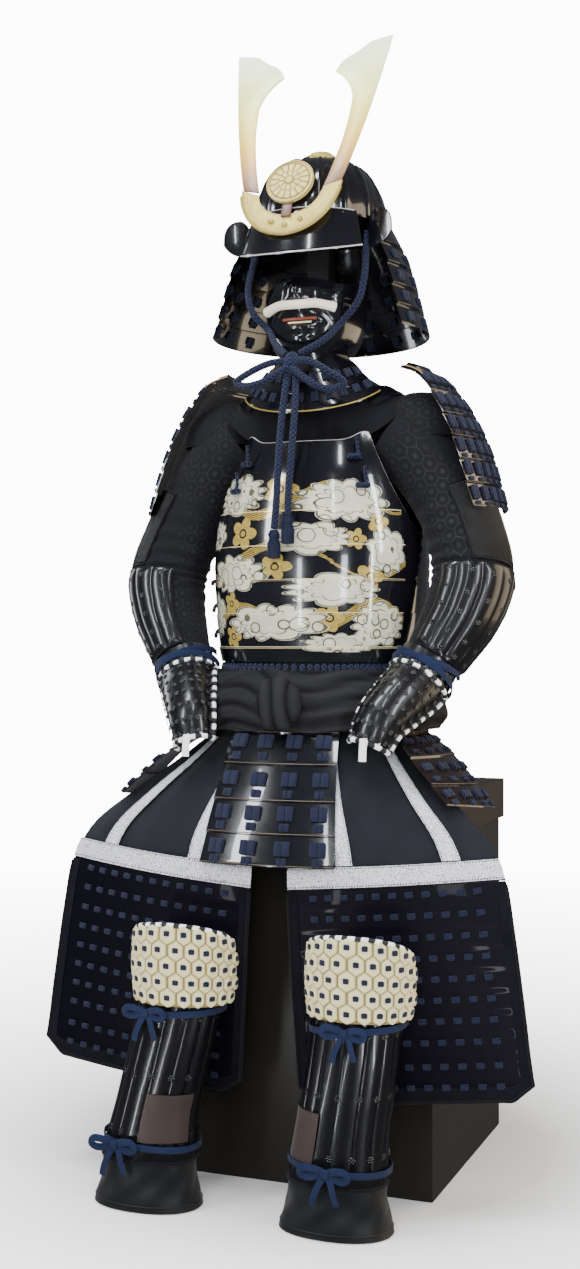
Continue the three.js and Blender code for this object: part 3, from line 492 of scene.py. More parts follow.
def painted_lacquer():
    material, tree, bsdf = new_material("painted_lacquer", {
        "Roughness": 0.16, "Coat Weight": 1.0, "Coat Roughness": 0.05})
    uv = uv_of(tree)
    inside = None
    for k, (x, y, wide, high) in enumerate(CLOUDS):
        apart = vector(tree, "SUBTRACT", uv, (x, y, 0.0))
        scaled = vector(tree, "DIVIDE", apart, (wide * 1.12, high * 1.25, 1.0))
        sides = node(tree, "ShaderNodeSeparateXYZ", {0: scaled})
        turn = calc(tree, "ARCTAN2", sides.outputs[1], sides.outputs[0])
        sway = calc(tree, "SINE", calc(tree, "MULTIPLY_ADD", turn, 2.0, 2.1 * k))
        angle = calc(tree, "MULTIPLY_ADD", sway, 0.22, turn)
        lobe = calc(tree, "ABSOLUTE", calc(tree, "SINE", calc(
            tree, "MULTIPLY_ADD", angle, 4.0 if wide < 0.045 else 5.5, k * 1.3)))
        edge = calc(tree, "MULTIPLY_ADD", lobe, 0.24, 0.76)
        away = calc(tree, "DIVIDE", vector(tree, "LENGTH", scaled, output="Value"), edge)
        inside = away if inside is None else calc(tree, "MINIMUM", inside, away)
    cloud = calc(tree, "LESS_THAN", inside, 1.0)
    rim = calc(tree, "COMPARE", inside, 0.95, 0.03)
    cells = node(tree, "ShaderNodeTexVoronoi", {"Vector": uv, "Scale": 38.0,
                                                "Randomness": 0.75})
    curl = calc(tree, "COMPARE", cells.outputs["Distance"], 0.42, 0.028)
    inner = calc(tree, "COMPARE", inside, 0.62, 0.02)
    outline = calc(tree, "MAXIMUM", rim, calc(tree, "MAXIMUM", curl, inner))
    tint = node(tree, "ShaderNodeTexNoise", {"Vector": uv, "Scale": 24.0, "Detail": 3.0})
    cream = blend(tree, tint.outputs["Fac"], (0.3, 0.3, 0.22, 1), (0.72, 0.71, 0.55, 1))
    drawn = blend(tree, outline, cream, (0.09, 0.08, 0.05, 1))

    parts = node(tree, "ShaderNodeSeparateXYZ", {0: uv})
    u, v = parts.outputs[0], parts.outputs[1]
    gold = None
    for base, rise, wave, phase in ((0.25, 0.022, 0.21, 0.0), (0.155, 0.026, 0.25, 2.0),
                                    (0.07, 0.02, 0.19, 4.0)):
        swing = calc(tree, "SINE", calc(tree, "MULTIPLY_ADD", u, TURN / wave, phase))
        line = calc(tree, "MULTIPLY_ADD", swing, rise, base)
        width = calc(tree, "MULTIPLY_ADD", calc(tree, "COSINE", calc(
            tree, "MULTIPLY_ADD", u, TURN / wave * 0.7, phase)), 0.004, 0.0062)
        near = calc(tree, "COMPARE", v, line, width)
        gold = near if gold is None else calc(tree, "MAXIMUM", gold, near)
    ripple = calc(tree, "SINE", calc(tree, "MULTIPLY", calc(tree, "ADD", u, calc(
        tree, "MULTIPLY", v, 3.0)), TURN / 0.009))
    gold = calc(tree, "MULTIPLY", gold, calc(tree, "GREATER_THAN", ripple, -0.45))
    for x, y, radius in BLOSSOMS:
        apart = vector(tree, "SUBTRACT", uv, (x, y, 0.0))
        away = vector(tree, "LENGTH", apart, output="Value")
        sides = node(tree, "ShaderNodeSeparateXYZ", {0: apart})
        angle = calc(tree, "ARCTAN2", sides.outputs[1], sides.outputs[0])
        petal = calc(tree, "ABSOLUTE", calc(tree, "COSINE", calc(
            tree, "MULTIPLY", angle, 2.5)))
        reach = calc(tree, "MULTIPLY_ADD", petal, radius * 0.42, radius * 0.58)
        flower = calc(tree, "LESS_THAN", away, reach)
        eye = calc(tree, "COMPARE", away, radius * 0.24, radius * 0.05)
        gold = calc(tree, "MAXIMUM", gold, flower)
        gold = calc(tree, "SUBTRACT", gold, eye)
    gold = calc(tree, "MAXIMUM", gold, 0.0)
    shine = node(tree, "ShaderNodeTexNoise", {"Vector": uv, "Scale": 160.0, "Detail": 2.0})
    leaf = blend(tree, shine.outputs["Fac"], (0.2, 0.13, 0.02, 1), (0.62, 0.46, 0.12, 1))

    black = (0.004, 0.004, 0.006, 1)
    picture = blend(tree, gold, black, leaf)
    picture = blend(tree, cloud, picture, drawn)
    edges = None
    for height in PLATE_EDGES:
        near = calc(tree, "COMPARE", v, height, 0.0007)
        edges = near if edges is None else calc(tree, "MAXIMUM", edges, near)
    zone = calc(tree, "LESS_THAN", calc(tree, "ABSOLUTE", u), 0.172)
    low = calc(tree, "GREATER_THAN", v, 0.016)
    shown = calc(tree, "MULTIPLY", calc(tree, "MULTIPLY", zone, low),
                 calc(tree, "LESS_THAN", v, 0.3))
    colour = blend(tree, shown, black, picture)
    colour = blend(tree, calc(tree, "MULTIPLY", edges, zone), colour, (0.7, 0.6, 0.34, 1))
    tree.links.new(colour, bsdf.inputs["Base Color"])
    metal = calc(tree, "MULTIPLY", calc(tree, "MAXIMUM", gold, edges), shown)
    metal = calc(tree, "MULTIPLY", metal, calc(tree, "SUBTRACT", 1.0, cloud))
    tree.links.new(calc(tree, "MULTIPLY", metal, 0.25), bsdf.inputs["Metallic"])
    return material


def plain_material(name, colour, rough, metallic=0.0):
    return new_material(name, {"Base Color": (*colour, 1), "Roughness": rough,
                               "Metallic": metallic})[0]


LACQUER = lacquer("black_lacquer")
BROWN_LACQUER = lacquer("brown_black_lacquer", (0.008, 0.003, 0.0025), 0.2)
PANEL_LACQUER = lacquer("panel_lacquer", (0.0025, 0.002, 0.005), 0.4, 0.1, 0.06, 0.12)
SPLINT = lacquer("splint_lacquer", (0.003, 0.003, 0.004), 0.24, 0.3, 0.35)
PAINTED = painted_lacquer()
RIM = plain_material("bright_rim", (0.6, 0.6, 0.57), 0.25, 0.35)
DIM_RIM = plain_material("dim_rim", (0.16, 0.13, 0.09), 0.3, 0.3)
GOLD_RIM = gilt("gold_rim", (0.48, 0.36, 0.09), 0.28)
PALE_GILT = gilt("pale_gilt", (0.56, 0.44, 0.11), 0.3, 0.6)
# disc_gilt, sash_cloth and cream_quilt take a second, darker colour that is painted shade, mixed
# in where their relief lies deep.
DISC_GILT = quilted("disc_gilt", (0.66, 0.55, 0.21), (0.2, 0.14, 0.03), 0.35, (0.2, 1.7))
HORN = horn_metal()
NAVY = braid("navy_braid", (0.008, 0.013, 0.048), 0.0075)
NAVY_KNOT = braid("navy_lacing", (0.009, 0.015, 0.052), 0.0045)
RIBBON = cloth("navy_ribbon", (0.006, 0.012, 0.04), 0.0016, 0.75, 0.05, 0.5)
BLACK_CLOTH = cloth("black_cloth", (0.004, 0.004, 0.006), 0.0014, 0.85, 0.05)
APRON_CLOTH = cloth("apron_cloth", (0.009, 0.01, 0.014), 0.0012, 0.82, 0.06)
SLEEVE_CLOTH = hexagon_brocade("sleeve_brocade", (0.004, 0.004, 0.006),
                               (0.0085, 0.0085, 0.0105), 0.021)
# Its near-black second colour is painted shade in the valleys of the sash's folds and the knot's
# wraps.
SASH_CLOTH = quilted("sash_cloth", (0.013, 0.013, 0.015), (0.001, 0.001, 0.001), 0.8, (-1.0, 4.2))
BORDER_CLOTH = cloth("border_brocade", (0.003, 0.003, 0.006), 0.0016, 0.85, 0.02, 0.6, 0.8)
SILVER = silver_brocade()
# Its olive second colour is painted shade in the sunken lines between the quilted hexagons.
QUILT = quilted("cream_quilt", (0.62, 0.55, 0.31), (0.2, 0.16, 0.05))
BONE = cloth("bone_white", (0.8, 0.72, 0.58), 0.0016, 0.55, 0.1, 0.5, 0.16)
PIPING = checked_piping()
MAIL = mail()
LEATHER = leather("brown_leather", (0.04, 0.022, 0.018))
BOOT = leather("black_leather", (0.003, 0.0035, 0.0045))
CHEST_WOOD = chest_wood("chest_wood", (0.017, 0.014, 0.01))
LID_WOOD = chest_wood("lid_wood", (0.03, 0.02, 0.013), 0.38)
STAND_WOOD = chest_wood("stand_wood", (0.01, 0.01, 0.01), 0.6)
WHITE_CLOTH = cloth("white_cloth", (0.62, 0.62, 0.6), 0.0012, 0.85, 0.2)
BEIGE = lacquer("beige_lacquer", (0.34, 0.24, 0.13), 0.25)
STITCH_WHITE = plain_material("white_stitch", (0.82, 0.83, 0.8), 0.7)
LIP = plain_material("red_brown_lip", (0.16, 0.035, 0.015), 0.35)
TEETH = plain_material("gold_teeth", (0.85, 0.72, 0.42), 0.3, 0.4)


# Mesh helpers

def settle(bm, name, material, stands_for=(), slot=None, angle=38):
    """Turns a bmesh into a piece that rides on the part's body."""
    name = name.replace(" ", "_")
    mesh = bpy.data.meshes.new(name)
    bm.to_mesh(mesh)
    bm.free()
    mesh.shade_smooth()
    mesh.set_sharp_from_angle(angle=math.radians(angle))
    mesh.materials.append(material)
    piece = bpy.data.objects.new(name, mesh)
    bpy.context.scene.collection.objects.link(piece)
    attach(piece, "root")
    if stands_for:
        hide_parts(*stands_for)
    return piece


def lengths(points):
    steps = np.linalg.norm(np.diff(points, axis=0), axis=1)
    return np.concatenate([[0.0], np.cumsum(steps)])


def directions(points, side, closed):
    """Outward direction at each point of a grid."""
    if closed:
        core = points[:, :-1]
        across = np.roll(core, -1, axis=1) - np.roll(core, 1, axis=1)
        across = np.concatenate([across, across[:, :1]], axis=1)
    else:
        across = np.gradient(points, axis=1)
    along = np.gradient(points, axis=0)
    out = np.cross(across, along)
    size = np.linalg.norm(out, axis=2, keepdims=True)
    return out / np.maximum(size, 1e-9) * side


def skin(name, points, material, thick, side=1, closed=False, caps=False, uv=None,
         raised=None, **rest):
    """A wall on a grid of points in millimetres: rows of t, columns of s."""
    rows, columns = points.shape[:2]
    if uv is None:
        u = lengths(points[rows // 2])
        v = lengths(points[:, columns // 2])
        uv = np.stack(np.meshgrid(u, v), axis=2) * MM
    bm = bmesh.new()
    layer = bm.loops.layers.uv.new("UVMap")
    bmesh.ops.create_grid(bm, x_segments=columns - 1, y_segments=rows - 1, size=1)
    height = bm.verts.layers.float.new("relief")
    places = {}
    for vert in bm.verts:
        i = round((vert.co.x + 1) / 2 * (columns - 1))
        j = round((vert.co.y + 1) / 2 * (rows - 1))
        places[vert] = (j, i)
        vert.co = points[j, i] * MM
        if raised is not None:
            vert[height] = raised[j, i]
    for face in bm.faces:
        for loop in face.loops:
            loop[layer].uv = uv[places[loop.vert]]
    if side < 0:
        bmesh.ops.reverse_faces(bm, faces=bm.faces[:])
    if closed:
        bmesh.ops.remove_doubles(bm, verts=bm.verts[:], dist=1e-6)
    if caps:
        rims = [edge for edge in bm.edges if edge.is_boundary]
        bmesh.ops.holes_fill(bm, edges=rims, sides=0)
    if thick > 0:
        bmesh.ops.solidify(bm, geom=bm.faces[:], thickness=thick * MM)
    return settle(bm, name, material, **rest)


def cut_of(at, s_range=(0.0, 1.0), t_range=(0.0, 1.0)):
    """Flat size and area of the cut that lies on a bare surface, in metres."""
    def run(places):
        return sum((Vector(b) - Vector(a)).length for a, b in zip(places, places[1:])) * MM

    across = [run([at(s, t) for s in evenly(48, *s_range)]) for t in evenly(16, *t_range)]
    down = [run([at(s, t) for t in evenly(32, *t_range)]) for s in evenly(16, *s_range)]
    area = sum(across) / len(across) * sum(down) / len(down)
    return (round(max(across), 4), round(max(down), 4)), round(area, 5)


def declare_sheet(at, s_range=(0.0, 1.0), t_range=(0.0, 1.0)):
    """Works out the cut's flat size and area, and does nothing more with them."""
    flat, area = cut_of(at, s_range, t_range)


def shell(name, at, columns, rows, material, thick=1.2, relief=None, side=1, closed=False,
          uv=None, **rest):
    """A wall on a surface function, with relief in its outer face."""
    points = np.array([[at(s, t) for s in columns] for t in rows], dtype=float)
    raised = None
    if relief is not None:
        raised = np.array([[relief(s, t) for s in columns] for t in rows])
        points = points + directions(points, side, closed) * raised[..., None]
    if uv is not None:
        uv = np.array([[uv(s, t) for s in columns] for t in rows])
    return skin(name, points, material, thick, side, closed, uv=uv, raised=raised, **rest)


def lifted(at, distance, side=1):
    """The same surface, moved out."""
    def moved(s, t):
        step = 0.004
        t0, t1 = clamp(t - step), clamp(t + step)
        across = Vector(at(s + step, t)) - Vector(at(s - step, t))
        along = Vector(at(s, t1)) - Vector(at(s, t0))
        out = across.cross(along).normalized() * (side * distance)
        return Vector(at(s, t)) + out
    return moved


def spot(at, s, t, side=1, lift=0.0, turn=0.0):
    """Where a small piece sits on a surface: X across, Y up it, Z outward."""
    step = 0.003
    t0, t1 = clamp(t - step), clamp(t + step)
    across = Vector(at(s + step, t)) - Vector(at(s - step, t))
    along = Vector(at(s, t1)) - Vector(at(s, t0))
    out = across.cross(along).normalized() * side
    up = (along - out * along.dot(out)).normalized()
    axes = Matrix((up.cross(out), up, out)).transposed().to_4x4()
    place = (Vector(at(s, t)) + out * lift) * MM
    return Matrix.Translation(place) @ axes @ Matrix.Rotation(turn, 4, "Z")


def scatter(name, stamp, places, material, **rest):
    """Copies of one small mesh at many places, as one piece."""
    bm = bmesh.new()
    for place in places:
        stamp.transform(place)
        bm.from_mesh(stamp)
        stamp.transform(place.inverted())
    bpy.data.meshes.remove(stamp)
    return settle(bm, name, material, **rest)


def stamp_of(bm):
    mesh = bpy.data.meshes.new("stamp")
    bm.to_mesh(mesh)
    bm.free()
    return mesh


def knots(name, places, wide, high, deep, pair=True, material=None, **rest):
    """Rounded lacing knots, each of one or two cords side by side."""
    bm = bmesh.new()
    layer = bm.loops.layers.uv.new("UVMap")
    offsets = (-0.26, 0.26) if pair else (0.0,)
    breadth = wide * (0.5 if pair else 1.0)
    for offset in offsets:
        shift = Matrix.Translation((offset * wide * MM, 0, 0))
        scale = Matrix.Diagonal((breadth * MM, high * MM, deep * MM, 1))
        bmesh.ops.create_cube(bm, size=1, matrix=shift @ scale)
    bmesh.ops.bevel(bm, geom=bm.edges[:], offset=min(breadth, high, deep) * 0.36 * MM,
                    segments=2, affect="EDGES", profile=0.6)
    for face in bm.faces:
        for loop in face.loops:
            loop[layer].uv = (loop.vert.co.x + loop.vert.co.z, loop.vert.co.y)
    return scatter(name, stamp_of(bm), places, material or NAVY_KNOT, slot="lace_navy", **rest)


def beads(name, places, radius, petals, material, flat=0.6, spread=2.0):
    """Rosettes of small domed rings round a middle one."""
    bm = bmesh.new()
    rings = [(0.0, 0.0)]
    for k in range(petals):
        angle = TURN * k / petals
        rings.append((math.cos(angle) * radius * spread, math.sin(angle) * radius * spread))
    for x, y in rings:
        shift = Matrix.Translation((x * MM, y * MM, 0))
        scale = Matrix.Diagonal((1, 1, flat, 1))
        bmesh.ops.create_uvsphere(bm, u_segments=8, v_segments=5, radius=radius * MM,
                                  matrix=shift @ scale)
    return scatter(name, stamp_of(bm), places, material, slot="lacquer_black")


def cords(name, places, wide, high, deep, material, **rest):
    """Upright cords with rounded ends."""
    bm = bmesh.new()
    layer = bm.loops.layers.uv.new("UVMap")
    bmesh.ops.create_uvsphere(bm, u_segments=10, v_segments=8, radius=0.5)
    bmesh.ops.rotate(bm, matrix=Matrix.Rotation(math.radians(90), 3, "X"), verts=bm.verts[:])
    for vert in bm.verts:
        x, y, z = vert.co
        angle = math.atan2(z, x)
        y = math.copysign(0.5 - (0.5 - abs(y)) * wide / high, y) if abs(y) > 0.01 else 0.0
        vert.co = (x * wide * MM, y * high * MM, z * deep * MM)
        for loop in vert.link_loops:
            loop[layer].uv = (angle * wide * 0.45 * MM, y * high * MM)
    return scatter(name, stamp_of(bm), places, material, slot="lace_navy", **rest)


def strand(name, route, wide, material, deep=None, face=None, sides=10, step=3.0, loop=False,
           relief=None, **rest):
    """A cord or ribbon along a smooth route. face is where its flat side looks."""
    deep = deep or wide
    length = sum((Vector(b) - Vector(a)).length for a, b in zip(route, route[1:]))
    count = max(6, int(length / step))
    centres = [through(route, k / count) for k in range(count + 1)]
    normal = Vector(face) if face else Vector((0.3, -1, 0.2))
    points = []
    for k, centre in enumerate(centres):
        ahead = (centres[min(k + 1, count)] - centres[max(k - 1, 0)]).normalized()
        if face:
            normal = Vector(face)
        normal = (normal - ahead * normal.dot(ahead)).normalized()
        across = ahead.cross(normal)
        grow = relief(k / count) if relief else 1.0
        ring = []
        for i in range(sides + 1):
            angle = TURN * i / sides
            ring.append(centre + across * (math.cos(angle) * wide / 2 * grow)
                        + normal * (math.sin(angle) * deep / 2 * grow))
        points.append(ring)
    return skin(name, np.array(points, dtype=float), material, 0, side=-1, closed=True,
                caps=not loop, **rest)


def flat_plate(name, outline, thick, seat, material, bevel=0.6, **rest):
    """A plate from an outline in X and Z, with softened edges."""
    bm = bmesh.new()
    verts = [bm.verts.new((x, 0, z)) for x, z in outline]
    front = bm.faces.new(verts)
    made = bmesh.ops.extrude_face_region(bm, geom=[front])
    moved = [part for part in made["geom"] if isinstance(part, bmesh.types.BMVert)]
    bmesh.ops.translate(bm, verts=moved, vec=(0, -thick, 0))
    bmesh.ops.recalc_face_normals(bm, faces=bm.faces[:])
    rims = [edge for edge in bm.edges if edge.calc_face_angle(0) > 1.0]
    bmesh.ops.bevel(bm, geom=rims, offset=bevel, segments=2, affect="EDGES", profile=0.6)
    bmesh.ops.transform(bm, matrix=Matrix.Scale(MM, 4) @ seat, verts=bm.verts[:])
    bmesh.ops.recalc_face_normals(bm, faces=bm.faces[:])
    return settle(bm, name, material, angle=30, **rest)


def bezier(points, count=14):
    """Places on a quadratic or cubic curve, without its first point."""
    places = []
    for k in range(1, count + 1):
        t = k / count
        line = [Vector(p) for p in points]
        while len(line) > 1:
            line = [a.lerp(b, t) for a, b in zip(line, line[1:])]
        places.append(tuple(line[0]))
    return places


def shingles(lines, depth, lowest_first=True):
    """Relief of overlapping plates: each stands proud at one edge."""
    bounds = [0.0, *lines, 1.0]

    def height(s, t):
        i = 0
        while i < len(bounds) - 2 and t > bounds[i + 1]:
            i += 1
        k = (t - bounds[i]) / (bounds[i + 1] - bounds[i])
        return depth * (1 - k if lowest_first else k)
    return height


def stepped(lines, count, gap=0.003):
    """Rows for plates: close pairs at each line and even rows between."""
    rows = []
    bounds = [0.0, *lines, 1.0]
    for low, high in zip(bounds, bounds[1:]):
        start = low if low == 0 else low + gap
        end = high if high == 1 else high - gap
        rows += evenly(count, start, end)
    return rows


# Helmet

BOWL = dict(y=-65, z=1500, high=108, a=105, b=126, hole=83, ribs=16)


def bowl_at(s, t):
    climb = math.radians(BOWL["hole"]) * t
    shrink = max(math.cos(climb), 0.0) ** 0.62
    z = BOWL["z"] + BOWL["high"] * math.sin(climb)
    return section(TURN * s, BOWL["a"] * shrink, BOWL["b"] * shrink, BOWL["y"], z)


def bowl_ridge(s, t):
    return 2.6 * abs(math.cos(math.pi * BOWL["ribs"] * s)) ** 14 * min(1.0, (1.05 - t) * 5)


def crown_profile():
    return ((13, 3.0), (34, 0.3), (35.4, 1.6), (34.6, 3.4), (27, 6.2), (24.6, 8.4),
            (24, 10.6), (18.6, 13.4), (17.4, 15.6), (12.4, 15.6))


CROWN_Z = BOWL["z"] + BOWL["high"] * math.sin(math.radians(BOWL["hole"])) + 2.8


def spun(name, profile, at, material, steps=48, wobble=None, tilt=None, **rest):
    """A turned piece about a vertical line at a place."""
    rows = []
    for radius, z in profile:
        ring = []
        for k in range(steps + 1):
            angle = TURN * k / steps
            grow = wobble(angle, radius) if wobble else 0.0
            local = Vector(((radius + grow) * math.cos(angle),
                            (radius + grow) * math.sin(angle), z))
            ring.append(tilt @ local if tilt else local + Vector(at))
        rows.append(ring)
    return skin(name, np.array(rows, dtype=float), material, 0, side=1, closed=True,
                caps=True, **rest)


def make_helmet():
    columns = evenly(16 * BOWL["ribs"])
    shell("helmet bowl", bowl_at, columns, evenly(26), LACQUER, 1.6, bowl_ridge,
          closed=True, stands_for=["helmet_bowl"], slot="lacquer_black", angle=60)
    flutes = 24
    spun("crown ring", crown_profile(), (0, BOWL["y"], CROWN_Z), PALE_GILT, 96,
         lambda angle, r: 1.1 * math.cos(flutes * angle) if r > 30 else 0.0,
         stands_for=["crown_ring"], slot="gilt")
    visor()
    neck_guard()
    ears()
    crest()


VISOR = dict(reach=math.radians(53), clear=4.4, top=1506, edge=1431, droop=17, a=128, b=156)


def visor_at(s, t):
    turn = mix(-VISOR["reach"], VISOR["reach"], s)
    grow = (1 - t) ** 0.8 if t < 1 else 0.0
    a = mix(BOWL["a"] + VISOR["clear"], VISOR["a"], grow)
    b = mix(BOWL["b"] + VISOR["clear"], VISOR["b"], grow)
    edge = VISOR["edge"] + VISOR["droop"] * (turn / VISOR["reach"]) ** 2
    return section(turn, a, b, BOWL["y"], mix(edge, VISOR["top"], t))


def edge_strand(name, at, t, start, end, wide, material, side=1, lift=0.0, count=60, **rest):
    """A cord or rim along one row of a surface."""
    raised = lifted(at, lift, side)
    route = [tuple(raised(s, t)) for s in evenly(count, start, end)]
    return strand(name, route, wide, material, sides=8, step=3.2, **rest)


def visor():
    shell("visor", visor_at, evenly(60), evenly(14), LACQUER, 1.8, stands_for=["visor"],
          slot="lacquer_black")
    edge_strand("visor rim", visor_at, 0.0, 0.0, 1.0, 2.4, RIM, slot="gilt")
    edge_strand("visor seam", visor_at, 0.985, 0.02, 0.98, 1.6, RIM, lift=0.6, slot="gilt")
    places = [spot(visor_at, s, 0.9, lift=0.5) for s in (0.12, 0.36, 0.64, 0.88)]
    beads("visor rivets", places, 2.6, 0, LACQUER, 0.7)


NECK_GUARD = table(
    "z    a    b",
    (1326, 172, 176),
    (1359, 163, 168),
    (1392, 154, 160),
    (1427, 144, 152),
    (1462, 130, 143),
    (1506, 111, 132),
)
NECK_START, NECK_END = math.radians(66), math.radians(294)
NECK_LINES = (0.2, 0.4, 0.6, 0.8)


def neck_guard_at(s, t):
    row = read(NECK_GUARD, t)
    return section(mix(NECK_START, NECK_END, s), row["a"], row["b"], BOWL["y"], row["z"])


def neck_guard():
    shell("neck guard", neck_guard_at, evenly(90), stepped(NECK_LINES, 4), LACQUER, 1.4,
          shingles(NECK_LINES, 4), stands_for=["neck_guard"], slot="lacquer_black")
    places = []
    for k, t in enumerate((0.1, 0.29, 0.49, 0.69)):
        for column in range(12):
            s = (column + 0.5) / 12
            places.append(spot(neck_guard_at, s, t, lift=3.2))
    knots("neck guard lacing", places, 15, 17, 6)
    inner = []
    for t in (0.12, 0.3, 0.5, 0.7):
        for column in range(12):
            s = (column + 0.5) / 12
            inner.append(spot(neck_guard_at, s, t, side=1, lift=-2.6))
    knots("neck guard inner lacing", inner, 12, 13, 3)
    for k, t in enumerate((0.0, 0.2, 0.4, 0.6)):
        edge_strand(f"neck guard edge {k}", neck_guard_at, t + 0.004, 0.0, 1.0, 1.4, BROWN_LACQUER,
                    lift=3.6, count=90, slot="lacquer_black")


EAR = dict(wide=44, high=58, x=101, y=-119.2, z=1455, turn=-18)


def ears():
    wide, high = EAR["wide"], EAR["high"]
    outline = [(0, 0)]
    outline += bezier([(0, 0), (wide * 0.7, -4), (wide, high * 0.32)])
    outline += bezier([(wide, high * 0.32), (wide * 1.05, high), (wide * 0.35, high)])
    outline += bezier([(wide * 0.35, high), (0, high * 0.9), (0, high * 0.55)])
    for name, hand in SIDES:
        seat = (Matrix.Translation((hand * EAR["x"], EAR["y"], EAR["z"]))
                @ Matrix.Rotation(math.radians(hand * EAR["turn"]), 4, "Z"))
        mirrored = [(hand * x, z) for x, z in outline]
        flat_plate(f"turned-back ear {name}", mirrored, 3.2, seat, LACQUER, 1.1,
                   stands_for=[f"turnback_{name}"], slot="lacquer_black")


CREST = dict(x=-5, y=-209, z=1476, lean=22)


def crest_seat(forward=0.0):
    return (Matrix.Translation((CREST["x"], CREST["y"], CREST["z"]))
            @ Matrix.Rotation(math.radians(-CREST["lean"]), 4, "X")
            @ Matrix.Translation((0, -forward, 0)))


def crescent_outline():
    lower = [(-84, 72)]
    lower += bezier([(-84, 72), (-78, 20), (-48, -16), (0, -18)], 24)
    lower += bezier([(0, -18), (48, -16), (78, 20), (84, 72)], 24)
    upper = [(54, 64)]
    upper += bezier([(54, 64), (52, 36), (32, 17), (0, 16)], 20)
    upper += bezier([(0, 16), (-32, 17), (-52, 36), (-54, 64)], 20)
    return lower, upper


def horn_outline(hand):
    turns = (((112, 180), (133, 345)), ((116, 343), (96, 338)), ((80, 322), (64, 314)),
             ((50, 306), (44, 287)), ((72, 268), (79, 232)), ((82, 165), (53.4, 64.3)))
    start = (81.5, 71.8)
    outline = [start]
    for bend, end in turns:
        outline += bezier([start, bend, end], 16)
        start = end
    return [(hand * x, z) for x, z in outline]


def rim_strand(name, outline, wide, seat, forward, material, **rest):
    route = [tuple(seat @ Vector((x, -forward, z))) for x, z in outline]
    return strand(name, route, wide, material, sides=8, step=3.0, **rest)


DISC_PROFILE = table(
    "r     h",
    (0.0, 12.4),
    (4.0, 12.0),
    (8.0, 9.6),
    (20.0, 9.0),
    (30.0, 7.6),
    (34.5, 6.8),
    (37.6, 5.4),
    (38.0, 3.0),
    (37.0, 0.3),
    (0.0, 0.0),
)


def disc_at(s, t):
    row = read(DISC_PROFILE, t)
    angle = TURN * s
    local = Vector((row["r"] * math.cos(angle), -(6 + row["h"]), 74 + row["r"] * math.sin(angle)))
    return tuple(crest_seat() @ local)


def petals(s, t):
    """Two rings of petals round a domed eye."""
    if t > 0.62:
        return 1.8
    r = read(DISC_PROFILE, t)["r"]
    outer = smooth((r - 17) / 3) * smooth((33 - r) / 3)
    inner = smooth((r - 7) / 2) * smooth((18 - r) / 2)
    rim = smooth((r - 33) / 1.5)
    eye = smooth((7 - r) / 1.5)
    return (2.4 * outer * abs(math.cos(8 * TURN * s)) ** 0.7
            + 2.2 * inner * abs(math.sin(5 * TURN * s)) ** 0.7 + 1.8 * rim + 2.0 * eye)


def crest():
    seat = crest_seat()
    lower, upper = crescent_outline()
    flat_plate("crescent", lower + upper[:-1], 4, seat, PALE_GILT, 1.0,
               stands_for=["crest_base"], slot="gilt")
    rim_strand("crescent lower rim", lower[2:-2], 6.0, seat, 3.6, GOLD_RIM, slot="gilt")
    rim_strand("crescent upper rim", upper[2:-2], 2.0, seat, 3.8, GOLD_RIM, slot="gilt")
    rivets = [Matrix.Scale(MM, 4) @ seat @ Matrix.Translation((x, -4.4, z))
              @ Matrix.Rotation(math.radians(90), 4, "X") @ Matrix.Scale(1 / MM, 4)
              for x, z in ((-24, 6), (0, -3), (24, 6))]
    beads("crescent rivets", rivets, 5.2, 0, GOLD_RIM, 0.7)
    for name, hand in SIDES:
        flat_plate(f"horn {name}", horn_outline(hand), 3, crest_seat(0.2), HORN, 1.0,
                   stands_for=[f"horn_{name}"], slot="gilt")
    flat_plate("crest stem", [(-8, 12), (8, 12), (8, 78), (-8, 78)], 3, crest_seat(4.4), HORN,
               0.8, slot="gilt")
    shell("crest disc", disc_at, evenly(192), evenly(63), DISC_GILT, 0, petals, closed=True,
          stands_for=["crest_disc"], slot="gilt")
    ring = [(38 * math.cos(TURN * k / 48), 74 + 38 * math.sin(TURN * k / 48))
            for k in range(49)]
    rim_strand("crest disc rim", ring, 2.6, seat, 10.4, GOLD_RIM, loop=True, slot="gilt")


# Face: a calm mask with light folds, and the throat guard

MASK = table(
    "z    a   b",
    (1290, 60, 82),
    (1306, 72, 92),
    (1326, 80, 99),
    (1346, 84, 103),
    (1366, 86, 104),
    (1386, 87, 101),
    (1404, 87, 96),
)
MASK_REACH = math.radians(82)
MOUSTACHE = dict(across=14, lift=7.4, reach=0.22, mid=0.642, tip=0.6)


def hill(value, middle, wide):
    return math.exp(-(((value - middle) / wide) ** 2))


def mask_form(s, t):
    turn = mix(-MASK_REACH, MASK_REACH, s)
    row = read(MASK, t)
    droop = min(abs(turn) / math.radians(40), 1) ** 2
    brow = t ** 3 * 14 * droop * (1 - abs(turn) / 2)
    x, y, z = section(turn, row["a"], row["b"], BOWL["y"], row["z"] - brow, 0.95)
    away = math.degrees(abs(turn))
    high = row["z"]
    out = (24 * hill(away, 0, 11) * hill(high, 1382, 20)
           + 5 * hill(away, 38, 14) * hill(high, 1378, 14)
           + 5 * hill(away, 0, 18) * hill(high, 1306, 10)
           - 5 * hill(away, 0, 24) * hill(high, 1336, 8))
    return (x + math.sin(turn) * out, y - math.cos(turn) * out, z)


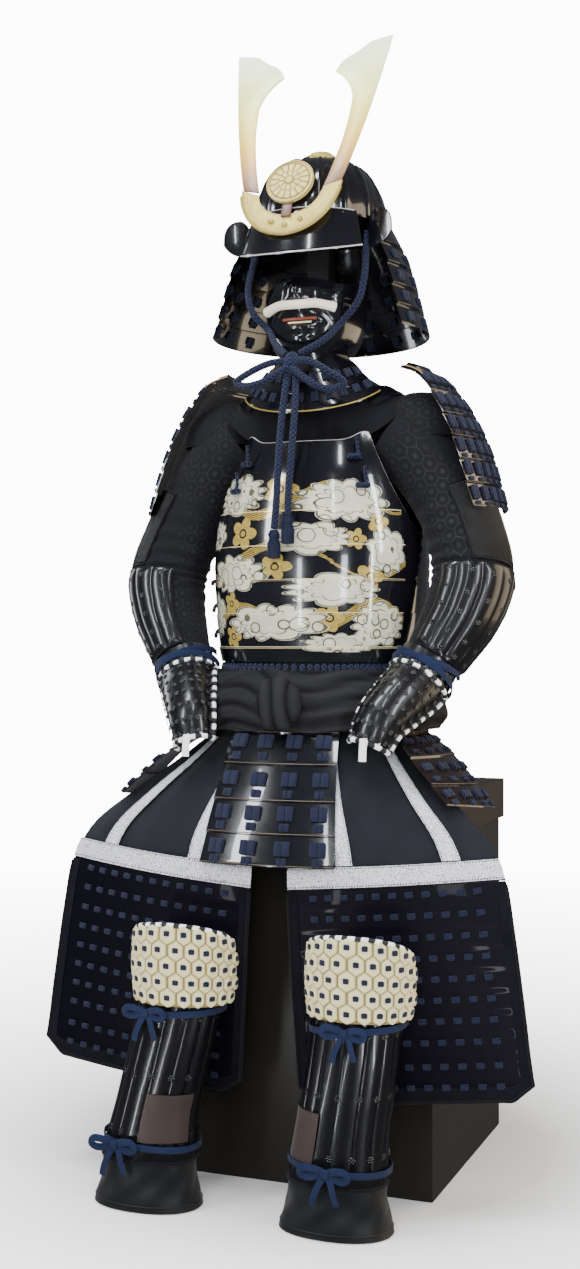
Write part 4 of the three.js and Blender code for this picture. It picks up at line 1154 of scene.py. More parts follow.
def mask_detail(s, t):
    away = math.degrees(abs(mix(-MASK_REACH, MASK_REACH, s)))
    high = read(MASK, t)["z"]
    out = 4.0 * hill(away, 10, 4.5) * hill(high, 1366, 6)
    crease = 1352 - (away - 24) * 1.1
    out += 2.2 * hill(high, crease + 8, 6) * hill(away, 26, 12)
    out -= 1.6 * hill(high, crease, 3) * hill(away, 28, 12)
    for k in range(3):
        line = 1388 - 11 * k - 0.012 * (away - 44) ** 2
        out += (0.9 * hill(high, line + 3, 3) - 1.1 * hill(high, line, 2)) * hill(away, 48, 15)
    out += 2.4 * hill(away, 0, 17) * hill(high, 1328, 3.4)
    out -= 2.6 * hill(away, 0, 19) * hill(high, 1337, 2.6)
    out -= 1.4 * hill(away, 0, 12) * hill(high, 1317, 3)
    return out


def throat_at(s, t):
    turn = math.radians(mix(-66, 66, s))
    z = mix(1193 + 34 * (turn / math.radians(66)) ** 2, MASK[0]["z"] - 0.4, t)
    return section(turn, mix(124, MASK[0]["a"], t), mix(100, MASK[0]["b"], t), BOWL["y"], z,
                   0.95)


def make_mask():
    shell("face mask", mask_form, evenly(128), evenly(84), LACQUER, 2.0, mask_detail,
          stands_for=["face_mask"], slot="lacquer_black", angle=70)
    lip_at = lifted(mask_form, MOUSTACHE["lift"])
    line = []
    for k in evenly(16, -1, 1):
        t = mix(MOUSTACHE["tip"], MOUSTACHE["mid"], math.cos(1.5 * k))
        line.append(tuple(lip_at(0.5 + k * MOUSTACHE["reach"], t)))
    strand("moustache", line, MOUSTACHE["across"], BONE, sides=20, step=1.5,
           relief=lambda k: 1.0 + 0.16 * (2 * k - 1) ** 6, stands_for=["moustache"],
           slot="bone")
    lips = lifted(mask_form, 1.6)
    route = [tuple(lips(s, 0.455)) for s in evenly(20, 0.385, 0.615)]
    strand("lip", route, 5.4, LIP, deep=4, sides=10, step=2.0, slot="lacquer_black")
    route = [tuple(lips(s, 0.405)) for s in evenly(20, 0.42, 0.58)]
    strand("teeth", route, 3.4, TEETH, deep=3, sides=10, step=2.0, slot="gilt")
    lines = (0.34, 0.67)
    shell("throat guard", throat_at, evenly(72), stepped(lines, 5), LACQUER, 1.6,
          shingles(lines, 3), stands_for=["throat_guard"], slot="lacquer_black")
    places = [spot(throat_at, (c + 0.5) / 11, t, lift=3.0) for t in (0.24, 0.57)
              for c in range(11)]
    knots("throat lacing", places, 12, 15, 5)
    edge_strand("throat edge low", throat_at, 0.004, 0.0, 1.0, 2.2, GOLD_RIM, lift=3.2,
                slot="gilt")


# Torso

TORSO_Y = -62
CUIRASS = dict(low=804, curve=931, high=1160)
CUIRASS_LEVELS = table(
    "z    a    b",
    (804, 164, 124),
    (826, 167, 126),
    (879, 171, 130),
    (931, 174, 131),
    (984, 174, 129),
    (1038, 166, 123),
    (1093, 150, 112),
    (1160, 128, 90),
)
PLATE_LINES = (826, 879, 931, 984, 1038, 1093)


def cuirass_top(turn):
    away = abs(turn)
    front = 1148 + 14 * hill(away, math.radians(46), math.radians(12))
    if away < math.radians(50):
        return front
    if away > math.radians(140):
        return 1180
    k = (away - math.radians(50)) / math.radians(90)
    return mix(1002, front if k < 0.5 else 1180, abs(2 * k - 1) ** 2.6)


def cuirass_at(turn, level):
    z = level
    if level > CUIRASS["curve"]:
        k = (level - CUIRASS["curve"]) / (CUIRASS["high"] - CUIRASS["curve"])
        z = mix(CUIRASS["curve"], cuirass_top(turn), k)
    row = read_at(CUIRASS_LEVELS, min(z, CUIRASS["high"]))
    tuck = max(z - CUIRASS["high"], 0) * 0.5
    return section(turn, row["a"] - tuck, row["b"] - tuck, TORSO_Y, z, 0.86)


def cuirass_front_at(s, t):
    return cuirass_at(math.radians(mix(-89.8, 89.8, s)), mix(CUIRASS["low"], CUIRASS["high"], t))


def cuirass_back_at(s, t):
    degrees = mix(90.2, 269.8, s)
    turn = math.radians(degrees - 360 if degrees > 180 else degrees)
    return cuirass_at(turn, mix(CUIRASS["low"], CUIRASS["high"], t))


def yoke_at(s, t):
    turn = TURN * s
    sideways = math.sin(turn) ** 2
    hem = 1136 if math.cos(turn) > 0 else 1152
    z = mix(1268, mix(hem, 1210, sideways), t ** (1 + 0.6 * (1 - sideways)))
    return section(turn, mix(62, 162, t), mix(64, 71.2, t), TORSO_Y, z, mix(1, 0.75, t))


def make_torso():
    span = CUIRASS["high"] - CUIRASS["low"]
    lines = [(z - CUIRASS["low"]) / span for z in PLATE_LINES]
    shell("cuirass front", cuirass_front_at, evenly(96), stepped(lines, 6, 0.0012), PAINTED, 2.0,
          shingles(lines, 1.8, False),
          uv=lambda s, t: (math.radians(mix(-89.8, 89.8, s)) * 0.152,
                           (cuirass_front_at(s, t)[2] - CUIRASS["low"]) * MM),
          stands_for=["cuirass_front"], slot="lacquer_black")
    shell("cuirass back", cuirass_back_at, evenly(72), stepped(lines, 5, 0.0012), LACQUER, 2.0,
          shingles(lines, 1.4, False), stands_for=["cuirass_back"], slot="lacquer_black")
    edge_strand("cuirass top rim", cuirass_front_at, 1.0, 0.0, 1.0, 3.0, RIM, count=120,
                slot="gilt")
    edge_strand("cuirass back rim", cuirass_back_at, 1.0, 0.0, 1.0, 2.6, RIM, count=120,
                slot="gilt")
    yoke = shell("shoulder yoke", yoke_at, evenly(96), evenly(30), BLACK_CLOTH, 1.6,
                 lambda s, t: 0.7 * math.sin(TURN * (9 * s + 1.5 * t)), side=-1, closed=True,
                 stands_for=["yoke"], slot="brocade_black")
    declare_sheet(yoke_at)
    for name, middle in (("left", 0.75), ("right", 0.25)):
        reach = 3 / 24
        at = lifted(yoke_at, 4.4, -1)
        shell(f"shoulder strap {name}", at, evenly(30, middle - reach, middle + reach),
              evenly(12, 0.5, 0.75), LACQUER, 1.8,
              lambda s, t: 0.9 * abs(math.sin(TURN * 4 * (t - 0.5))), side=-1,
              stands_for=[f"shoulder_strap_{name}"], slot="lacquer_black")


def waist_at(s, t):
    return section(TURN * s, mix(176, 160, t), mix(150, 121, t), TORSO_Y, mix(712, 803, t), 0.9)


def make_waist():
    shell("waist core", waist_at, evenly(96), evenly(6), BLACK_CLOTH, 1.2, closed=True,
          stands_for=["waist_lacing"], slot="lace_navy")
    count = 96
    places = [spot(waist_at, k / count, 0.5, 1, 1.2) for k in range(count)]
    cords("waist cords", places, 9.4, 88, 6.4, NAVY)


SASH = table(
    "z    a    b",
    (698, 192, 174),
    (718, 200, 179),
    (742, 199, 175),
    (766, 188, 158),
    (789, 170, 132),
)
SASH_KNOT = dict(x=2, y=-259.4, z=740, wide=33, deep=19, high=38)


def sash_at(s, t):
    row = read(SASH, t)
    return section(TURN * s, row["a"], row["b"], TORSO_Y, row["z"], 0.92)


def sash_fold(s, t):
    """Folds that run round and gather towards the knot in front."""
    near = math.exp(-((min(s, 1 - s) / 0.12) ** 2))
    lines = 2.6 + 1.2 * near
    sway = 0.12 * math.sin(TURN * 3 * s) + 0.07 * math.sin(TURN * 7 * s + 1)
    broad = math.sin(math.pi * lines * (t + sway)) ** 2
    fine = math.sin(math.pi * 7 * (t + sway * 1.6) + TURN * 2 * s) ** 2
    return 4.2 * broad ** 0.6 + 1.5 * fine - 1.2


def knot_at(s, t):
    angle = TURN * s
    climb = math.pi * (t - 0.5)
    x = SASH_KNOT["x"] + SASH_KNOT["wide"] * math.cos(climb) ** 0.8 * math.sin(angle)
    y = SASH_KNOT["y"] - SASH_KNOT["deep"] * math.cos(climb) ** 0.8 * math.cos(angle)
    return (x, y, SASH_KNOT["z"] + SASH_KNOT["high"] * math.sin(climb))


def knot_wrap(s, t):
    """Turns of cloth that run over the knot."""
    angle = TURN * s
    across = math.sin(angle) * math.cos(math.pi * (t - 0.5))
    return 5.4 * abs(math.sin(4.4 * across + 1.1 * (t - 0.5) + 0.5)) ** 0.7 - 1.2


def make_sash():
    band = shell("sash band", sash_at, evenly(216), evenly(44), SASH_CLOTH, 1.6, sash_fold,
                 closed=True, stands_for=["sash_band"], slot="brocade_black", angle=80)
    declare_sheet(sash_at)
    shell("sash knot", knot_at, evenly(120), evenly(48), SASH_CLOTH, 0, knot_wrap, closed=True,
          stands_for=["sash_knot"], slot="brocade_black", angle=80)


TASSET_FRONT = table(
    "z      a    b    y",
    (711.4, 176, 151, -62),
    (686, 181, 110, -130),
    (620, 196, 106, -166),
    (560, 210, 104, -191),
    (503, 222, 104, -209),
)
TASSET_BACK = table(
    "z      a    b    y",
    (711.4, 176, 151, -62),
    (682, 178, 158, -62),
    (656, 180, 164, -62),
    (630, 182, 168, -62),
    (606, 184, 172, -62),
)
SIDE_TASSET = table(
    "z    front_x front_y back_x back_y drop bow",
    (712, 146, -149, 172, -66, 0, 8),
    (692, 158, -160, 182, -70, 0, 5),
    (660, 198, -220, 230, -90, 2, 10),
    (624, 236, -243, 270, -103, 10, 14),
    (596, 262, -252, 298, -112, 16, 16),
)


def round_tasset(rows, start, end):
    def at(s, t):
        row = read(rows, 1 - t)
        turn = math.radians(mix(start, end, s))
        return section(turn, row["a"], row["b"], row["y"], row["z"])
    return at


def side_tasset(hand):
    def at(s, t):
        row = read(SIDE_TASSET, 1 - t)
        x = mix(row["front_x"], row["back_x"], s) + row["bow"] * math.sin(math.pi * s)
        return (hand * x, mix(row["front_y"], row["back_y"], s), row["z"] - row["drop"] * s)
    return at


def laced_tasset(name, at, lames, columns, side, node_name, material, size):
    lines = evenly(lames)[1:-1]
    shell(name, at, evenly(40), stepped(lines, 5), material, 1.6, shingles(lines, 2.4), side=side,
          stands_for=[node_name], slot="lacquer_black")
    wide, high, low = size
    tall = []
    small = []
    for k in range(lames - 1):
        for c in range(columns):
            s = (c + 0.5) / columns
            tall.append(spot(at, s, (k + 0.62) / lames, side, 3.4))
            small.append(spot(at, s, (k + 0.2) / lames, side, 3.0))
    knots(f"{name} lobes", tall, wide, high, 6.4)
    knots(f"{name} squares", small, low, low * 0.8, 5.4)
    for k in range(lames):
        edge_strand(f"{name} edge {k}", at, k / lames + 0.004, 0.01, 0.99, 1.0, DIM_RIM,
                    side=side, lift=2.6, slot="gilt")


def make_tassets():
    laced_tasset("front tasset", round_tasset(TASSET_FRONT, -29, 29), 5, 4, 1, "tasset_front",
                 LACQUER, (24, 22, 15))
    laced_tasset("back tasset", round_tasset(TASSET_BACK, 150, 210), 4, 4, 1, "tasset_back",
                 LACQUER, (20, 14, 12))
    for name, hand in SIDES:
        laced_tasset(f"side tasset {name}", side_tasset(hand), 4, 4, hand, f"tasset_{name}",
                     BROWN_LACQUER, (18, 14, 12))


# Sleeves, splints and hand guards

SLEEVE = table(
    "x    y    z     wide deep",
    (126, -62, 1160, 60, 66),
    (174, -62, 1122, 63, 66),
    (214, -68, 1064, 59, 62),
    (243, -80, 1000, 58, 60),
    (258, -94, 940, 59, 60),
    (246, -110, 885, 55, 56),
    (222, -130, 835, 47, 49),
    (200, -146, 794, 40, 40),
)
HAND = table(
    "x      y     z    wide  deep",
    (207.2, -142, 808, 46.9, 46.9),
    (191, -160, 772, 47, 47),
    (172, -194, 744, 43, 43),
    (154, -230, 714, 37, 33),
    (142, -247, 676, 30, 25),
)


def tube_at(rows, hand):
    """Sections across a bent path; s runs round, from the outside over the front."""
    def at(s, t):
        row = read(rows, t)
        before = read(rows, t - 0.02)
        after = read(rows, t + 0.02)
        run = Vector([after[k] - before[k] for k in "xyz"]).normalized()
        outward = Vector((0, 1, 0)).cross(run).normalized()
        if outward.x < 0:
            outward.negate()
        forward = run.cross(outward).normalized()
        if forward.y > 0:
            forward.negate()
        turn = TURN * s
        place = (Vector((row["x"], row["y"], row["z"])) + outward * (row["wide"] * math.cos(turn))
                 + forward * (row["deep"] * math.sin(turn)))
        place.x *= hand
        return tuple(place)
    return at


def sleeve_fold(s, t):
    bend = math.exp(-(((t - 0.52) / 0.2) ** 2))
    main = 3.2 * bend * math.sin(TURN * (8 * t + 1.5 * s)) ** 2
    small = 0.7 * math.sin(TURN * (5 * t - 2 * s) + 2 * math.sin(TURN * 3 * t))
    return main + small * (1 - bend * 0.5)


def outline_of(at, s0, s1, t0, t1, count=30):
    """A route round the four sides of a patch of a surface."""
    route = [tuple(at(mix(s0, s1, k), t0)) for k in evenly(count)]
    route += [tuple(at(s1, mix(t0, t1, k))) for k in evenly(count)[1:]]
    route += [tuple(at(mix(s1, s0, k), t1)) for k in evenly(count)[1:]]
    route += [tuple(at(s0, mix(t1, t0, k))) for k in evenly(count)[1:]]
    return route


def patch(name, at, s_range, t_range, material, thick=1.0, lift=0.6, side=1, cells=(24, 24),
          relief=None, **rest):
    raised = lifted(at, lift + thick, side)
    return shell(name, raised, evenly(cells[0], *s_range), evenly(cells[1], *t_range), material,
                 thick, relief, side=side, **rest)


def make_arms():
    for name, hand in SIDES:
        at = tube_at(SLEEVE, hand)
        side = hand
        sleeve = shell(f"sleeve {name}", at, evenly(84), evenly(132), SLEEVE_CLOTH, 1.4,
                       sleeve_fold, side=side, closed=True, stands_for=[f"sleeve_{name}"],
                       slot="brocade_black", angle=80)
        declare_sheet(at)
        make_sleeve_head(name, hand)
        patch(f"elbow mail {name}", at, (-0.14, 0.2), (0.3, 0.56), MAIL, 0.8, 3.4, side,
              slot="lacquer_black")
        rings = [spot(at, s + 0.004 * (k % 2), t, side, 4.4) for k, t in enumerate(
            evenly(34, 0.31, 0.55)) for s in evenly(30, -0.13, 0.19)]
        beads(f"elbow rings {name}", rings, 2.3, 0, MAIL, 0.8)
        rim = outline_of(lifted(at, 4.6, side), -0.14, 0.2, 0.3, 0.56)
        strand(f"elbow mail piping {name}", rim, 3.4, BLACK_CLOTH, sides=8, step=4,
               slot="brocade_black")
        cover = lifted(at, 7.2, side)
        start, end = -2 / 12, 4 / 12
        rows = (8 / 14, 13 / 14)
        shell(f"forearm splints {name}", cover, evenly(96, start, end), evenly(40, *rows),
              SPLINT, 1.6,
              lambda s, t: 3 * abs(math.sin(math.pi * (s - start) * 12)) ** 0.6
              * smooth(min(t - rows[0], rows[1] - t) * 60),
              side=side, stands_for=[f"forearm_splints_{name}"], slot="lacquer_black",
              angle=60)
        studs = [spot(cover, start + (k + 0.5) / 12, t, side, 3.4)
                 for k in range(6) for t in (0.6, 0.68, 0.76, 0.84, 0.905)]
        beads(f"forearm studs {name}", studs, 1.5, 5, LACQUER)
        rim = outline_of(lifted(at, 6.6, side), start, end, *rows)
        strand(f"forearm piping {name}", rim, 3.2, BLACK_CLOTH, sides=8, step=4,
               slot="brocade_black")
        make_hand(name, hand)


def make_sleeve_head(name, hand):
    """Cloth that swells from the sleeve to the underside of the shoulder guard."""
    def at(s, t):
        climb = math.pi / 2 * t
        reach = math.cos(climb) ** 0.9
        return (hand * (166 + 74 * reach * math.sin(TURN * s)),
                -58 - 60 * reach * math.cos(TURN * s), 1156 + 74 * math.sin(climb))

    head = shell(f"sleeve head {name}", at, evenly(64), evenly(24), SLEEVE_CLOTH, 1.2,
                 lambda s, t: 1.2 * math.sin(TURN * (6 * s + t)) * (1 - t), side=hand,
                 closed=True, slot="brocade_black", angle=80)
    declare_sheet(at)


def make_hand(name, hand):
    at = tube_at(HAND, hand)
    side = hand

    def domed(s, t):
        half = clamp(s, 0.0, 0.5)
        return 3 * math.sin(TURN * half) * math.sin(math.pi * t)

    shell(f"hand guard {name}", at, evenly(60, -0.02, 0.52), evenly(60), SPLINT, 1.8, domed,
          side=side, stands_for=[f"hand_guard_{name}"], slot="brocade_black")
    low = lifted(at, 1.2, side)
    route = outline_of(low, -0.02, 0.52, 0.24, 0.985)
    strand(f"hand piping {name}", route, 8.0, PIPING, sides=10, step=3, slot="bone")
    top = lifted(at, 3.2, side)
    studs = [spot(top, mix(0.06, 0.46, c / 8), t, side, 0.4)
             for t in evenly(9, 0.1, 0.92) for c in range(9)]
    beads(f"hand studs {name}", studs, 1.4, 6, LACQUER)
    for k, s in enumerate((0.2, 0.32)):
        loop = [tuple(Vector(low(s + x, t))) for x, t in
                ((-0.05, 0.93), (-0.055, 0.985), (-0.02, 1.0), (0.02, 1.0), (0.055, 0.985),
                 (0.05, 0.93))]
        strand(f"finger loop {name} {k}", loop, 3.4, STITCH_WHITE, sides=8, step=1.5,
               slot="bone")
    tip = Vector(low(0.26, 1.0))
    strand(f"finger tab {name}", [tuple(tip + Vector(p)) for p in (
        (0, -2, 6), (0, -5, -8), (0, -7, -22), (0, -7, -27))], 12, STITCH_WHITE, deep=5,
        face=(0, -1, 0.2), sides=12, step=2, slot="bone")
    cuff = lifted(at, 5.0, side)
    for k, (s0, s1, t0, t1) in enumerate(((-0.1, 0.55, 0.2, 0.06), (-0.1, 0.55, 0.03, 0.19))):
        route = [tuple(cuff(mix(s0, s1, q), mix(t0, t1, q))) for q in evenly(14)]
        flat_ribbon(f"wrist tie {name} {k}", route, 10, (hand * 200, -150))


def flat_ribbon(name, route, wide, middle, deep=1.4, **rest):
    """A thin tape whose flat side looks away from a vertical line."""
    points = []
    smooth_route = [through(route, k) for k in evenly(4 * len(route))]
    for k, place in enumerate(smooth_route):
        before = smooth_route[max(k - 1, 0)]
        after = smooth_route[min(k + 1, len(smooth_route) - 1)]
        ahead = (after - before).normalized()
        out = Vector((place.x - middle[0], place.y - middle[1], 0)).normalized()
        across = ahead.cross(out).normalized()
        out = across.cross(ahead)
        ring = []
        for i in range(13):
            angle = TURN * i / 12
            c, q = math.cos(angle), math.sin(angle)
            flat = math.copysign(abs(c) ** 0.35, c)
            ring.append(place + across * (flat * wide / 2) + out * (q * deep / 2))
        points.append(ring)
    return skin(name, np.array(points, dtype=float), RIBBON, 0, closed=True, caps=True,
                slot="lace_navy", **rest)


# Shoulder guards

SHOULDER_GUARD = table(
    "x    y    z     bow half",
    (155.2, -40, 1266, 10, 60),
    (195.2, -38, 1250, 16, 78),
    (229.2, -38, 1210, 20, 88),
    (253.2, -38, 1168, 22, 93),
    (271.2, -40, 1126, 24, 95),
    (284.2, -42, 1084, 24, 95),
    (296.2, -44, 1042, 24, 94),
)
SHOULDER_LAMES = 7


def shoulder_at(hand):
    def at(s, t):
        row = read(SHOULDER_GUARD, 1 - t)
        across = mix(-1, 1, s)
        back = row["bow"] * (1 - math.cos(across * 1.25)) * 1.5
        return (hand * (row["x"] - back), row["y"] + across * row["half"], row["z"])
    return at


def make_shoulder_guards():
    for name, hand in SIDES:
        at = shoulder_at(hand)
        lines = evenly(SHOULDER_LAMES)[1:-1]
        shell(f"shoulder guard {name}", at, evenly(48), stepped(lines, 5), BROWN_LACQUER, 1.8,
              shingles(lines, 2.6), side=hand, stands_for=[f"shoulder_guard_{name}"],
              slot="lacquer_black")
        places = [spot(at, (c + 0.5) / 8, (k + 0.62) / SHOULDER_LAMES, hand, 3.4)
                  for k in range(SHOULDER_LAMES - 1) for c in range(8)]
        knots(f"shoulder lacing {name}", places, 13, 23, 6)
        small = [spot(at, (c + 0.5) / 8, (k + 0.14) / SHOULDER_LAMES, hand, 3.0)
                 for k in range(SHOULDER_LAMES) for c in range(8)]
        knots(f"shoulder small lacing {name}", small, 10, 7, 4.6)
        for k in range(SHOULDER_LAMES):
            edge_strand(f"shoulder edge {name} {k}", at, k / SHOULDER_LAMES + 0.004, 0.01, 0.99,
                        1.6, BROWN_LACQUER, side=hand, lift=2.9, slot="lacquer_black")
        for k, t in enumerate((0.88, 0.985)):
            edge_strand(f"shoulder head {name} {k}", at, t, 0.02, 0.98, 5.0, LACQUER, side=hand,
                        lift=1.2, slot="lacquer_black")


# Apron: cloth over the lap, six silver bands and two plated panels

APRON = table(
    "z    outer_z in_x in_y out_x out_y bulge",
    (710, 710, 26, -188, 140, -122, 10),
    (655, 654, 26, -224, 196, -165, 18),
    (590, 600, 27, -258, 262, -212, 22),
    (528, 548, 28, -280, 322, -238, 22),
    (464, 492, 30, -288, 350, -250, 18),
    (387, 416, 34, -290, 364, -254, 16),
    (310, 340, 38, -288, 375, -256, 14),
    (233, 264, 43, -286, 385, -258, 12),
    (152, 182, 47, -284, 394, -259, 10),
)
CELLS = 12
PLATES = 10
DOTS = 11
BAND_TOP = 3.5 / 8
PANEL_TOP = 0.5
BORDER = 0.048


def apron_at(hand):
    def at(s, t):
        row = read(APRON, t)
        at_corner = max(1 - min(s, 1 - s) * CELLS, 0)
        low = max((t - 0.9) / 0.1, 0)
        z = mix(row["z"], row["outer_z"], s) + 24 * at_corner * low
        y = mix(row["in_y"], row["out_y"], s) - row["bulge"] * math.sin(math.pi * s)
        return (hand * mix(row["in_x"], row["out_x"], s), y, z)
    return at


def cloth_fall(s, t):
    """Soft folds that fan from the waist."""
    fan = math.sin(TURN * (3.2 * s + 0.4 * math.sin(4 * t))) * smooth(t * 6) * 2.0
    return (fan - 1.1) * smooth((PANEL_TOP - t) * 14)


def make_apron():
    for name, hand in SIDES:
        at = apron_at(hand)
        side = -hand
        upper = shell(f"apron cloth {name}", at, evenly(72), evenly(60, 0, PANEL_TOP - 0.0004),
                      APRON_CLOTH, 1.4, lambda s, t: min(cloth_fall(s, t), 0.9), side=side,
                      stands_for=[f"apron_cloth_{name}"], slot="brocade_black")
        declare_sheet(at, (0.0, 1.0), (0.0, PANEL_TOP))
        make_panel(name, at, side)
        raised = lifted(at, 3.2, side)
        band(f"band across {name}", raised, (0.0, 1.0), (BAND_TOP, PANEL_TOP - 0.004), True,
             side, f"band_across_{name}")
        cell = 1 / CELLS
        for which, start in (("inner", 3), ("outer", 9)):
            band(f"band {which} {name}", raised, (start * cell, (start + 1) * cell),
                 (BAND_TOP / 6, BAND_TOP - 0.004), False, side, f"band_{which}_{name}")


def band(name, at, s_range, t_range, across, side, node_name):
    """A tape of silver brocade: u runs along it and v from its middle."""
    count = (110, 12) if across else (12, 110)
    rows = evenly(count[1], *t_range)
    columns = evenly(count[0], *s_range)
    middle_s = (s_range[0] + s_range[1]) / 2
    middle_t = (t_range[0] + t_range[1]) / 2
    half_wide = 0.0137

    def place(s, t):
        if across:
            along = (Vector(at(s, middle_t)) - Vector(at(0, middle_t))).length * MM
            return (along, (t - middle_t) / (t_range[1] - t_range[0]) * 2 * half_wide)
        along = (Vector(at(middle_s, t)) - Vector(at(middle_s, t_range[0]))).length * MM
        return (along, (s - middle_s) / (s_range[1] - s_range[0]) * 2 * half_wide)

    piece = shell(name, at, columns, rows, SILVER, 1.0,
                  lambda s, t: 0.25 * math.sin(240 * (s + t)), side=side, uv=place,
                  stands_for=[node_name], slot="brocade_silver")
    declare_sheet(at, s_range, t_range)


def make_panel(name, at, side):
    lines = evenly(PLATES, PANEL_TOP, 1)[1:-1]

    def overlapped(s, t):
        rim = BORDER * 0.5
        inside = smooth(min(s, 1 - s) / rim - 0.9) * smooth((1 - t) / 0.024 - 0.9)
        down = PLATES * (t - PANEL_TOP) / (1 - PANEL_TOP)
        return (1 + 0.9 * (down % 1)) * inside

    local = [(t - PANEL_TOP) / (1 - PANEL_TOP) for t in lines]
    rows = [mix(PANEL_TOP + 0.0004, 1, k) for k in stepped(local, 4, 0.006)]
    shell(f"apron panel {name}", at, evenly(72), rows, PANEL_LACQUER, 2.2, overlapped,
          side=side, stands_for=[f"apron_plates_{name}"], slot="lacquer_black")
    dots = []
    for k in range(PLATES):
        t = PANEL_TOP + (k + 0.42) * (1 - PANEL_TOP) / PLATES * 0.985
        for c in range(DOTS):
            s = mix(BORDER * 1.9, 1 - BORDER * 1.9, (c + 0.5) / DOTS)
            dots.append(spot(at, s, min(t, 0.955), side, 2.6))
    knots(f"panel lacing {name}", dots, 12, 8.5, 4.6, pair=False)
    for k, (s_range, t_range) in enumerate((((0.0, BORDER), (PANEL_TOP + 0.004, 0.997)),
                                            ((1 - BORDER, 1.0), (PANEL_TOP + 0.004, 0.997)),
                                            ((BORDER, 1 - BORDER), (0.955, 0.997)))):
        border = patch(f"panel border {name} {k}", at, s_range, t_range, BORDER_CLOTH, 1.2,
                       1.4, side, (30, 60),
                       lambda s, t: 0.6 * math.sin(300 * s) * math.sin(300 * t),
                       slot="brocade_black")
        declare_sheet(at, s_range, t_range)
    route = [tuple(lifted(at, 2.6, side)(s, t)) for s, t in
             [(0.004, t) for t in evenly(20, PANEL_TOP + 0.01, 0.99)]
             + [(s, 0.992) for s in evenly(26, 0.01, 0.99)]
             + [(0.996, t) for t in evenly(20, 0.99, PANEL_TOP + 0.01)]]
    strand(f"panel piping {name}", route, 5.0, BLACK_CLOTH, sides=8, step=3,
           slot="brocade_black")


# Toggles, side ties, shoulder fittings and the pale cloth behind the hip

TOGGLES = table(
    "turn level hand",
    (34, 1128, 1),
    (37, 1078, 1),
    (-36, 1120, -1),
    (-39, 1074, -1),
)


def make_fittings():
    bars = []
    for row in TOGGLES:
        turn = math.radians(row["turn"])
        x, y, z = cuirass_at(turn, row["level"])
        out = Vector((math.sin(turn), -math.cos(turn), 0))
        across = Vector((math.cos(turn), math.sin(turn), 0))
        centre = Vector((x, y, z)) + out * 7
        axes = Matrix((across, (0, 0, 1), out)).transposed().to_4x4()
        bars.append(Matrix.Translation(centre * MM) @ axes)
        loop = [centre - across * 9, centre + out * 5 - across * 4, centre + out * 6 + across * 4,
                centre + across * 5 + Vector((0, 0, 8)), centre + across * 3 + Vector((0, 0, 30))]
        strand(f"toggle cord {row['turn']}", [tuple(p) for p in loop], 5.4, NAVY, sides=10,
               step=1.6, slot="lace_navy")
    knots("toggles", bars, 24, 9, 9, pair=False, material=NAVY)
    for k, level in enumerate((842, 884, 928)):
        route = []
        for q in evenly(12):
            turn = math.radians(mix(-72, -104, q))
            x, y, z = cuirass_at(turn, level + 12 * math.sin(math.pi * q))
            out = Vector((math.sin(turn), -math.cos(turn), 0))
            route.append(tuple(Vector((x, y, z)) + out * 6))
        strand(f"side tie {k}", route, 6.4, NAVY, sides=10, step=2.0, slot="lace_navy")
    for name, hand in SIDES:
        at = shoulder_at(hand)
        cap = lifted(at, 7, hand)
        shell(f"shoulder fitting {name}", cap, evenly(24, 0.1, 0.5), evenly(18, 0.9, 0.995),
              LACQUER, 5.0, lambda s, t: 3.0 * smooth(min(s - 0.1, 0.5 - s) * 30)
              * smooth(min(t - 0.9, 0.995 - t) * 90), side=hand, slot="lacquer_black")
        patch(f"shoulder front plate {name}", at, (0.02, 0.12), (0.82, 0.97), BEIGE, 2.0, 3.2,
              hand, (10, 12), slot="lacquer_black")
    at = side_tasset(1)
    inner = lifted(at, -5, 1)
    across, down = (0.62, 0.995), (0.42, 0.98)
    hip = shell("hip cloth", inner, evenly(24, *across), evenly(30, *down), WHITE_CLOTH, 1.2,
                lambda s, t: -0.8 + 0.7 * math.sin(TURN * 2 * t + 3 * s),
                slot="brocade_silver")
    declare_sheet(inner, across, down)


# Legs

LEGS = {
    "left": table(
        "x     y    z   wide deep",
        (-166, -352, 76, 72, 50),
        (-154, -352, 140, 63, 48),
        (-139, -352, 200, 62, 48),
        (-123, -352, 262, 62, 48),
        (-108, -352, 326, 61, 47),
    ),
    "right": table(
        "x    y     z   wide deep",
        (132, -354, 76, 72, 50),
        (140, -354, 140, 65, 48),
        (149, -354, 200, 64, 48),
        (158, -354, 262, 63, 48),
        (166, -354, 326, 62, 47),
    ),
}
KNEE = dict(hexes=12, rows=5, low=310, high=426, reach=104, arch=34, lean=6)
KNEE_LIFT = {"left": 10.2, "right": 8.8}
SPLINTS = 7


def leg_at(rows):
    def at(s, t):
        row = read(rows, t)
        x, y, z = section(TURN * s, row["wide"], row["deep"], row["y"], row["z"], 0.9)
        return (x + row["x"], y, z)
    return at


def knee_at(name):
    top = LEGS[name][-1]

    def at(s, t):
        turn = math.radians(mix(-KNEE["reach"], KNEE["reach"], s))
        z = mix(KNEE["low"], KNEE["high"] - KNEE["arch"] * (2 * s - 1) ** 2, t)
        out = KNEE_LIFT[name] + 4 * math.sin(math.pi * t * 0.9)
        x, y, z = section(turn, top["wide"] + out, top["deep"] + out,
                          top["y"] - KNEE["lean"] * t, z, 0.9)
        return (x + top["x"] + 3 * t, y, z)
    return at


def hexes():
    """Middle places of the quilted hexagons, as shares of width and height."""
    places = []
    for row in range(KNEE["rows"]):
        odd = row % 2
        for column in range(KNEE["hexes"] - 1 + odd):
            places.append(((2 * column + 2 - odd) / (2 * KNEE["hexes"]),
                           (2 * row + 1) / (2 * KNEE["rows"])))
    return places


HEX_PLACES = hexes()


